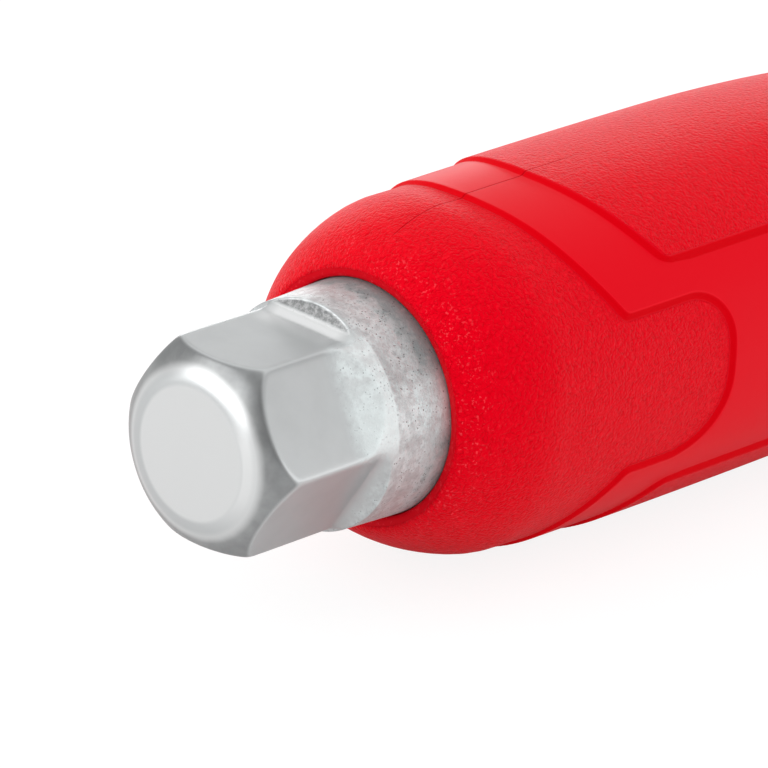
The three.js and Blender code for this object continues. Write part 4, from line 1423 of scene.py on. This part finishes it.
@dataclass
class StrikingBody:
    """The forged body: face, rim, cone, hexagon, collar, and the tube inside the grip.

    The last pairs place the marks that the finish reads: where a rise starts or a fall ends, and
    how wide it is.
    """

    across_flats: float = 19.7
    corner_power: float = 72.0
    face_rings: tuple[float, ...] = (0.0, 1.5, 3.2, 4.8, 5.8, 6.3)
    face_radius: float = 6.7
    cone: Profile = ((0.0, 6.55), (0.0, 7.9), (1.35, 10.45), (3.5, 11.36))
    cone_rows: int = 44
    past_cone: Steps = (0.1, 1.1, 0.1)
    flat_rows: tuple[Steps, ...] = ((4.9, 12.4, 0.6), (12.6, 15.5, 0.16), (15.6, 16.7, 0.05))
    open_radius: float = 99.0
    arc_softness: float = 0.30
    collar_softness: float = 0.12
    shoulder_x: float = 16.3
    run_outs: Profile = ((2.1, 0.0), (4.4, 1.12), (1.9, 0.0), (0.8, 0.0), (1.2, 0.0), (1.2, 0.0))
    flat_rise: float = 2.5
    flat_middle: float = 8.0
    collar: Profile = ((16.0, 11.8), (24.3, 12.15))
    collar_rows: Steps = (16.8, 24.3, 0.5)
    neck_x: float = 31.0
    tube_radius: float = 14.5
    tube_end: float = 113.6
    tube_rounding: Profile = ((-0.5, 0.0), (-0.15, -0.15), (0.0, -0.5))
    bore_radius: float = 11.0
    bore_rounding: Profile = ((0.0, 0.3), (-0.3, 0.0))
    bore_floor: float = 34.0
    ring_groove: Span = (109.1, 111.1)
    groove_depth: float = 1.1
    columns: int = 384
    crowding: Span = (4.0, 2.4)
    sharp_angle: float = 50.0

    head_end: float = 6.0
    crescent_rise: Span = (0.55, 0.30)
    crescent_edge: Span = (0.10, 0.12)
    crescent_fold: Span = (33.0, 4.0)
    crescent_start: float = 14.0
    ledge_start: Span = (11.8, 2.2)
    ledge_fold: Span = (29.0, 8.0)
    ledge_edge: float = 0.1
    blend_start: Span = (11.3, 1.5)
    blend_fold: Span = (34.0, 9.0)
    rim_inner: Span = (6.6, 0.4)
    rim_outer: Span = (8.6, 0.8)
    cone_inner: Span = (8.3, 0.8)
    cone_outer: Span = (-0.05, 0.25)

    def flat_radius(self, x: np.ndarray, angle: np.ndarray) -> np.ndarray:
        """The hexagon's radius, where each flat runs out into the collar in its own way.

        Args:
            x: Places along the axis.
            angle: Angles in radians.

        Returns:
            The radius at each place.
        """
        total = np.zeros_like(x)
        for side, (length, power) in enumerate(self.run_outs):
            facing = np.maximum(np.cos(angle - side * TURN / 6), 1e-3)
            share = rise(x, self.shoulder_x - length, length)
            height = share**power if power else 1 - np.sqrt(1 - share**2)
            total += (facing / (self.across_flats / 2 + self.flat_rise * height)) ** self.corner_power
        return total ** (-1 / self.corner_power)

    def head_rows(self) -> Outline:
        """Lists the head's rows before the flats are cut.

        Returns:
            The x and the turned radius of each row.
        """
        (near_x, near_radius), (end_x, end_radius) = self.cone[-2:]
        slope = (end_radius - near_radius) / (end_x - near_x)
        rows = [(0.0, radius) for radius in self.face_rings]
        for t in np.linspace(0.0, 1.0, self.cone_rows):
            shares = ((1 - t) ** 3, 3 * t * (1 - t) ** 2, 3 * t * t * (1 - t), t**3)
            rows.append(tuple(sum(w * point[k] for w, point in zip(shares, self.cone)) for k in (0, 1)))
        first, last, step = self.past_cone
        for x in stepped(((end_x + first, end_x + last, step),)):
            rows.append((x, end_radius + slope * (x - end_x)))
        return rows + [(x, self.open_radius) for x in stepped(self.flat_rows)]

    def rear_outline(self) -> Outline:
        """Draws the collar, the neck, the tube and the bore.

        Returns:
            The points, from the shoulder to the bore's floor.
        """
        xs, radii = zip(*self.collar)
        outline = [(x, float(np.interp(x, xs, radii))) for x in stepped((self.collar_rows,))]
        groove, bore = self.bore_radius + self.groove_depth, self.bore_radius
        groove_start, groove_end = self.ring_groove
        return outline + [
            self.collar[-1], (self.neck_x, radii[-1]), (self.neck_x, self.tube_radius),
            *offset(self.tube_end, self.tube_radius, self.tube_rounding),
            *offset(self.tube_end, bore, self.bore_rounding),
            (groove_end, bore), (groove_end, groove), (groove_start, groove), (groove_start, bore),
            (self.bore_floor, bore), (self.bore_floor, 0.0),
        ]

    def build(self) -> Piece:
        """Spins the body's outline, cuts its flats and marks its parts for the finish.

        Returns:
            The body.
        """
        head, rear = self.head_rows(), self.rear_outline()
        piece = MeshShop.spun_sheet("forged_body", len(head) + len(rear), self.columns, closed=False)
        row, turn = MeshShop.rows_and_angles(piece)
        corners = [30.0 + 60.0 * k for k in range(6)]
        angle = spread_angles(turn, self.columns, corners, *self.crowding)
        places = np.array(head + rear)
        x, bare = places[row, 0], places[row, 1]
        is_head = row < len(head)
        (x0, r0), (x1, r1) = self.collar
        collar = r0 + (r1 - r0) * (x - x0) / (x1 - x0)
        cut = soft_min(bare, self.flat_radius(x, angle), self.arc_softness)
        cut = soft_min(cut, collar, self.collar_softness)
        radius = np.where(is_head & (bare > self.face_radius), cut, bare)
        MeshShop.place(piece, x, radius, angle)
        self.mark_shoulders(piece, x, angle, radius, collar, is_head)
        self.mark_face(piece, angle, bare, is_head & (x < self.head_end))
        MeshShop.close_up(piece, self.sharp_angle)
        return piece

    def mark_shoulders(
        self, piece: Piece, x: np.ndarray, angle: np.ndarray, radius: np.ndarray,
        collar: np.ndarray, is_head: np.ndarray,
    ) -> None:
        """Marks the top flat's painted highlight near its rear and its dark shoulder, and the side flat's
        blended one.

        Args:
            piece: The body.
            x: Each point's place along the axis.
            angle: Its angle.
            radius: Its radius.
            collar: The collar's radius there.
            is_head: Whether it is on the head.
        """
        flat = self.flat_radius(np.full_like(x, self.flat_middle), angle)
        fold = degrees_from(angle)
        on_face = rise(radius - flat, *self.crescent_rise) * rise(collar - radius, *self.crescent_edge)
        dark = on_face * fall(fold, *self.crescent_fold) * (x > self.crescent_start)
        # painted highlight on the top flat's rear, off the crescent
        ledge_highlight = rise(x, *self.ledge_start) * fall(fold, *self.ledge_fold)
        ledge_highlight *= (1 - on_face) * (radius < collar - self.ledge_edge) * is_head
        from_side = degrees_from(angle, TURN / 6)
        blended = rise(x, *self.blend_start) * fall(from_side, *self.blend_fold) * is_head
        MeshShop.mark(piece, "ledge_painted_highlight", ledge_highlight)
        MeshShop.mark(piece, "dark_shoulder", dark)
        MeshShop.mark(piece, "blended_shoulder", blended)

    def mark_face(
        self, piece: Piece, angle: np.ndarray, bare: np.ndarray, by_face: np.ndarray
    ) -> None:
        """Marks the face's rim, which gets a painted highlight, and the cone round it, which gets painted
        shade.

        Args:
            piece: The body.
            angle: Each point's angle.
            bare: Its radius before the flats are cut.
            by_face: Whether it is near the face.
        """
        flat = self.flat_radius(np.full_like(bare, self.flat_middle), angle)
        rim = rise(bare, *self.rim_inner) * fall(bare, *self.rim_outer)
        cone = rise(bare, *self.cone_inner) * rise(flat - bare, *self.cone_outer)
        MeshShop.mark(piece, "rim_highlight_band", rim * by_face)
        MeshShop.mark(piece, "cone_painted_shade", cone * by_face)

    def make(self, finishes: Finishes) -> list[Piece]:
        """Builds the body and sets it in the frame.

        Args:
            finishes: The finishes.

        Returns:
            The body.
        """
        piece = self.build()
        finishes.dress(piece, "forged_steel")
        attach(piece, "body")
        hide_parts("striking_body")
        return [piece]


@dataclass
class NoseRing:
    """The steel ring that closes the grip's front."""

    start: float = 107.6
    end: float = 113.6
    radius: float = 16.4
    bore: float = 14.8
    edge: float = 1.0
    edge_round: float = 0.2
    sides: int = 192
    sharp_angle: float = 30.0

    def make(self, finishes: Finishes) -> list[Piece]:
        """Builds the ring and sets it in the frame.

        Args:
            finishes: The finishes.

        Returns:
            The ring.
        """
        outline = [
            (self.start, self.bore), (self.start, self.radius), (self.end - self.edge, self.radius),
            (self.end, self.radius - self.edge), (self.end, self.bore),
        ]
        piece = MeshShop.turned("nose_collar", outline, self.sides, closed=True)
        MeshShop.bevel(piece, self.edge_round)
        MeshShop.close_up(piece, self.sharp_angle)
        finishes.dress(piece, "ground_steel")
        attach(piece, "body")
        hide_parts("nose_ring")
        return [piece]


@dataclass
class BitHolder:
    """The holder: square socket behind, hexagonal socket in front, and the hole for the ball."""

    start: float = 123.6
    end: float = 158.6
    radius: float = 11.5
    front_radius: float = 8.0
    rear_edge: Profile = ((0.0, -0.9), (0.12, -0.55), (0.45, -0.16), (0.9, 0.0))
    front_edge: Profile = ((-0.9, 0.0), (-0.45, -0.16), (-0.12, -0.55), (0.0, -0.9))
    taper: Span = (139.9, 145.9)
    taper_start: Profile = ((-0.5, 0.0), (0.1, -0.12), (0.6, -0.42))
    taper_end: Profile = ((-0.7, 0.40), (-0.2, 0.14), (0.5, 0.0))
    sides: int = 192
    square: Span = (121.6, 137.9)
    square_across: float = 13.3
    square_corner: float = 8.5
    hexagon: Span = (142.3, 160.6)
    hexagon_across: float = 8.6
    magnet_seat: Span = (139.6, 142.7)
    magnet_radius: float = 3.3
    clip_groove: Span = (151.3, 152.9)
    groove_radius: float = 5.92
    mouth: Profile = ((158.1, 0.0), (158.1, 4.55), (159.1, 5.55), (159.1, 0.0))
    ball_x: float = 129.9
    ball_hole: float = 2.7
    ball_span: Span = (4.75, 13.5)
    sharp_angle: float = 32.0

    def outline(self) -> Outline:
        """Draws the turned outside, with rounded edges and a rounded foot to the taper.

        Returns:
            The points, from the rear to the front.
        """
        return [
            (self.start, 0.0),
            *offset(self.start, self.radius, self.rear_edge),
            *offset(self.taper[0], self.radius, self.taper_start),
            *offset(self.taper[1], self.front_radius, self.taper_end),
            *offset(self.end, self.front_radius, self.front_edge),
            (self.end, 0.0),
        ]

    def build(self) -> Piece:
        """Turns the outside and cuts the sockets, the magnet's seat, the groove and the hole.

        Returns:
            The holder.
        """
        piece = MeshShop.turned("socket_holder", self.outline(), self.sides, closed=False)
        square = MeshShop.prism("square_tool", self.square, self.square_across, 4)
        past_square = (self.square[0] - 1, self.square[1] + 1)
        MeshShop.cut(square, MeshShop.rod("corner_tool", past_square, self.square_corner), "INTERSECT")
        MeshShop.cut(piece, square)
        MeshShop.cut(piece, MeshShop.prism("hexagon_tool", self.hexagon, self.hexagon_across, 6))
        MeshShop.cut(piece, MeshShop.rod("seat_tool", self.magnet_seat, self.magnet_radius))
        MeshShop.cut(piece, MeshShop.rod("groove_tool", self.clip_groove, self.groove_radius))
        MeshShop.cut(piece, MeshShop.turned("mouth_tool", self.mouth, MeshShop.ROUND_SIDES, closed=False))
        inner, outer = self.ball_span
        middle = (self.ball_x, (inner + outer) / 2, 0.0)
        MeshShop.cut(piece, MeshShop.bar("ball_tool", middle, self.ball_hole, outer - inner))
        MeshShop.close_up(piece, self.sharp_angle)
        return piece

    def make(self, finishes: Finishes) -> list[Piece]:
        """Builds the holder and sets it in the frame.

        Args:
            finishes: The finishes.

        Returns:
            The holder.
        """
        piece = self.build()
        finishes.dress(piece, "dark_steel")
        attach(piece, "spindle")
        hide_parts("bit_holder")
        return [piece]


@dataclass
class ScrewBit:
    """The bit: a hexagonal shank with eased edges and a cross point with four flutes."""

    start: float = 142.6
    shank_end: float = 171.6
    tip: float = 180.1
    across: float = 8.0
    edge_round: float = 0.22
    rear_rounding: Profile = ((-0.01, -0.60), (0.20, -0.30), (0.60, -0.03))
    shoulder: float = 0.8
    neck: float = 3.6
    neck_rounding: Profile = ((-0.2, 0.35), (0.01, 0.0))
    point_root: float = 0.6
    tip_radius: float = 1.1
    tip_rounding: Profile = ((-0.6, 0.0), (-0.25, -0.3), (0.0, -1.1))
    flutes: int = 4
    flute_offset: float = 1.5
    flute_round: float = 0.28
    flute_segments: int = 4
    sharp_angle: float = 26.0

    def flute(self, number: int) -> Piece:
        """Shapes one flute's tool: a bar with rounded edges, one of them turned to the axis.

        Args:
            number: Which of the flutes.

        Returns:
            The tool.
        """
        length = self.tip - self.shank_end
        half = self.neck / 2 * MM
        MeshShop.clear_selection()
        bpy.ops.mesh.primitive_cube_add(size=1.0, location=(length / 2 * MM, half, half))
        tool = bpy.context.object
        tool.scale = (length * MM, self.neck * MM, self.neck * MM)
        MeshShop.settle(tool)
        MeshShop.bevel(tool, self.flute_round, self.flute_segments)
        lean = Matrix.Rotation(math.atan2(self.neck - self.tip_radius, length) / 2, 4, "Y")
        turn = Matrix.Rotation((number + 0.5) * TURN / self.flutes, 4, "X")
        shift = Matrix.Translation(Vector((self.shank_end + self.point_root, 0, self.flute_offset)) * MM)
        tool.data.transform(turn @ shift @ lean @ Matrix.Rotation(TURN / 8, 4, "X"))
        return tool

    def build(self) -> Piece:
        """Rounds a hexagonal bar's ends, adds the point and cuts its flutes.

        Returns:
            The bit.
        """
        corner = self.across / 2 / math.cos(math.pi / 6)
        piece = MeshShop.prism("cross_bit", (self.start, self.shank_end), self.across, 6)
        MeshShop.bevel(piece, self.edge_round)
        rear = offset(self.start, corner, self.rear_rounding)
        neck = offset(self.shank_end, self.neck, self.neck_rounding)
        shoulder = (self.shank_end - self.shoulder, rear[-1][1])
        rounding = [(rear[0][0], 0.0), *rear, shoulder, *neck, (neck[-1][0], 0.0)]
        tool = MeshShop.turned("rounding_tool", rounding, MeshShop.ROUND_SIDES, closed=False)
        MeshShop.cut(piece, tool, "INTERSECT")
        root = self.shank_end - self.point_root
        tip = offset(self.tip, self.tip_radius, self.tip_rounding)
        point = [(root, 0.0), (root, self.neck), (self.shank_end, self.neck), *tip]
        MeshShop.cut(piece, MeshShop.turned("point_tool", point, MeshShop.ROUND_SIDES, closed=False), "UNION")
        for number in range(self.flutes):
            MeshShop.cut(piece, self.flute(number))
        MeshShop.close_up(piece, self.sharp_angle)
        return piece

    def make(self, finishes: Finishes) -> list[Piece]:
        """Builds the bit and sets it in the frame.

        Args:
            finishes: The finishes.

        Returns:
            The bit.
        """
        piece = self.build()
        finishes.dress(piece, "dark_steel")
        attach(piece, "bit")
        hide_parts("screw_bit")
        return [piece]


@dataclass
class ShownMechanism:
    """The pieces that show at the nose: copies of the CAD nodes with smooth round faces."""

    copies: tuple[tuple[str, str, str], ...] = (
        ("drive_spindle", "ground_steel", "spindle"),
        ("dust_seal", "black_rubber", "body"),
        ("detent_ball", "ground_steel", "ball"),
        ("holder_magnet", "magnet_nickel", "spindle"),
    )
    sharp_angle: float = 34.0

    def make(self, finishes: Finishes) -> list[Piece]:
        """Copies each node, joins its triangles and smooths its round faces.

        Args:
            finishes: The finishes.

        Returns:
            The copies.
        """
        made = []
        for node, slot, body in self.copies:
            piece = MeshShop.copy_node(node, f"{node}_smooth", self.sharp_angle)
            finishes.dress(piece, slot)
            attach(piece, body)
            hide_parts(node)
            made.append(piece)
        return made


@dataclass
class Springs:
    """The coil springs: copies of the CAD nodes; the joint, axis, fixed end and share listed with each are
    not used.
    """

    coils: tuple[tuple[str, str, str, Point, Point, float], ...] = (
        ("return_spring", "body", "strike_slide", (1.0, 0.0, 0.0), (36.3, 0.0, 0.0), 0.655),
        ("detent_spring", "spindle", "detent_ball_press", (0.0, 1.0, 0.0), (129.9, -3.2, 0.0), 0.89),
    )
    sharp_angle: float = 40.0

    def make(self, finishes: Finishes) -> list[Piece]:
        """Copies each spring, sets it on its body and gives it its own mesh.

        Args:
            finishes: The finishes.

        Returns:
            The springs.
        """
        made = []
        for node, body, joint, axis, fixed_end, keep in self.coils:
            piece = MeshShop.copy_node(node, f"{node}_coil", self.sharp_angle)
            finishes.dress(piece, "spring_steel")
            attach(piece, body)
            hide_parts(node)
            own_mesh(piece)
            made.append(piece)
        return made


@dataclass
class Mechanism:
    """The pieces that keep their CAD shape: they only get their finishes."""

    def make(self, finishes: Finishes) -> list[Piece]:
        """Dresses the CAD nodes by the record's slots.

        Args:
            finishes: The finishes.

        Returns:
            The dressed nodes.
        """
        dressed = []
        for subpart in frame["record"]["subparts"]:
            finishes.dress_node(subpart["node"], subpart["material_slot"])
            dressed.append(frame["nodes"][subpart["node"]])
        return dressed


@dataclass(frozen=True)
class Lamp:
    """A soft lamp: its place, what it faces and its size in metres, and its power in watts."""

    name: str
    place: Point
    target: Point
    size: Span
    power: float

    def make(self) -> None:
        """Adds the lamp to the scene, out of the camera's sight."""
        data = bpy.data.lights.new(self.name, "AREA")
        data.shape = "RECTANGLE"
        data.size, data.size_y = self.size
        data.energy = self.power
        holder = bpy.data.objects.new(self.name, data)
        holder.location = self.place
        holder.visible_camera = False
        aim = Vector(self.target) - Vector(self.place)
        holder.rotation_euler = aim.to_track_quat("-Z", "Y").to_euler()
        bpy.context.scene.collection.objects.link(holder)


@dataclass
class Studio:
    """The camera, the pale floor and the soft light round the tool."""

    camera_place: Point = (-355.3, -327.7, 210.0)
    right: Point = (0.6751, -0.7325, 0.0875)
    down: Point = (-0.2287, -0.3206, -0.9192)
    forward: Point = (0.7013, 0.6006, -0.3840)
    focal_share: float = 5500 / 768
    sensor: float = 36.0
    sight: Span = (0.01, 20.0)
    floor_z: float = -19.45
    floor_size: float = 8.0
    floor_seen: Colour = (0.17, 0.17, 0.17)
    floor_mirrored: Colour = (0.66, 0.66, 0.66)
    floor_bounce: Colour = (0.88, 0.88, 0.88)
    floor_glow: float = 0.08
    seen_glow: float = 0.79
    dim_side: Point = (-0.70, -0.66, 0.28)
    dim_band: Span = (0.45, 0.95)
    room_tone: Colour = (0.66, 0.66, 0.66)
    dim_tone: Colour = (0.46, 0.46, 0.46)
    fill_tone: Colour = (0.99, 0.99, 0.99)
    lamps: tuple[Lamp, ...] = (
        Lamp("left_light", (-0.98, 0.42, 0.52), (0.03, 0, 0), (1.15, 1.0), 4.7),
        Lamp("right_light", (0.52, -1.05, 0.16), (0.03, 0, 0), (1.3, 0.45), 1.2),
        Lamp("back_light", (1.20, 1.02, 0.17), (0.05, 0, 0), (1.3, 0.34), 3.0),
        Lamp("upper_light", (0.40, 0.26, 1.50), (0.05, 0, 0), (2.6, 2.4), 4.4),
        Lamp("low_light", (-1.08, 0.50, 0.17), (0, 0, 0), (1.1, 0.30), 0.9),
    )

    def camera(self) -> None:
        """Sets up the camera at the photograph's place."""
        data = bpy.data.cameras.new("photo_camera")
        data.sensor_width = self.sensor
        data.sensor_fit = "HORIZONTAL"
        data.lens = self.focal_share * self.sensor
        data.clip_start, data.clip_end = self.sight
        holder = bpy.data.objects.new("photo_camera", data)
        bpy.context.scene.collection.objects.link(holder)
        up = [-c for c in self.down]
        back = [-c for c in self.forward]
        turn = Matrix((self.right, up, back)).transposed().to_4x4()
        turn.translation = Vector(self.camera_place) * MM
        holder.matrix_world = turn
        bpy.context.scene.camera = holder

    def floor(self) -> None:
        """Lays the pale floor and gives it a white that keeps the shadow."""
        MeshShop.clear_selection()
        bpy.ops.mesh.primitive_plane_add(size=self.floor_size, location=(0, 0, self.floor_z * MM))
        ground = bpy.context.object
        ground.name = "floor"
        sheet = MaterialSheet("floor_white")
        path = sheet.add("ShaderNodeLightPath")
        camera, mirror, through = (
            path.outputs[f"Is {ray} Ray"] for ray in ("Camera", "Glossy", "Transmission")
        )
        seen = sheet.most(sheet.most(camera, mirror), through)
        unseen_tone = sheet.blend(mirror, self.floor_bounce, self.floor_mirrored)
        sheet.give({
            "Roughness": 1.0,
            "Specular IOR Level": 0.0,
            "Base Color": sheet.blend(camera, unseen_tone, self.floor_seen),
            "Emission Color": WHITE,
            "Emission Strength": sheet.line(camera, self.seen_glow, sheet.times(seen, self.floor_glow)),
        })
        ground.data.materials.append(sheet.material)

    def world(self) -> None:
        """Makes the room: even light all round, white to look at, dimmer behind the camera."""
        world = bpy.data.worlds.new("studio")
        bpy.context.scene.world = world
        world.use_nodes = True
        sheet = NodeSheet(world.node_tree)
        path = sheet.add("ShaderNodeLightPath")
        facing = sheet.add("ShaderNodeVectorMath", operation="DOT_PRODUCT")
        sheet.feed(facing.inputs[0], sheet.add("ShaderNodeTexCoord").outputs["Generated"])
        sheet.feed(facing.inputs[1], self.dim_side)
        dim = sheet.between(facing.outputs["Value"], self.dim_band)
        mirrored = sheet.blend(dim, self.room_tone, self.dim_tone)
        lit = sheet.blend(path.outputs["Is Diffuse Ray"], mirrored, self.fill_tone)
        room = sheet.add("ShaderNodeBackground")
        sheet.feed(room.inputs["Color"], sheet.blend(path.outputs["Is Camera Ray"], lit, WHITE))
        sheet.join(room.outputs["Background"], sheet.add("ShaderNodeOutputWorld").inputs["Surface"])

    def make(self) -> None:
        """Sets up the whole studio."""
        bpy.context.scene.view_settings.view_transform = "Standard"
        self.camera()
        self.floor()
        self.world()
        for lamp in self.lamps:
            lamp.make()


def main() -> None:
    """Builds the tool and its studio."""
    logging.basicConfig(level=logging.INFO, format="%(name)s: %(message)s")
    Studio().make()
    finishes = Finishes()
    assemblies = (
        Mechanism(), StrikingBody(), Grip(), NoseRing(), ShownMechanism(), Springs(), BitHolder(), ScrewBit(),
    )
    for assembly in assemblies:
        for piece in assembly.make(finishes):
            LOG.info("%s: %d faces", piece.name, len(piece.data.polygons))


if __name__ == "__main__":
    main()
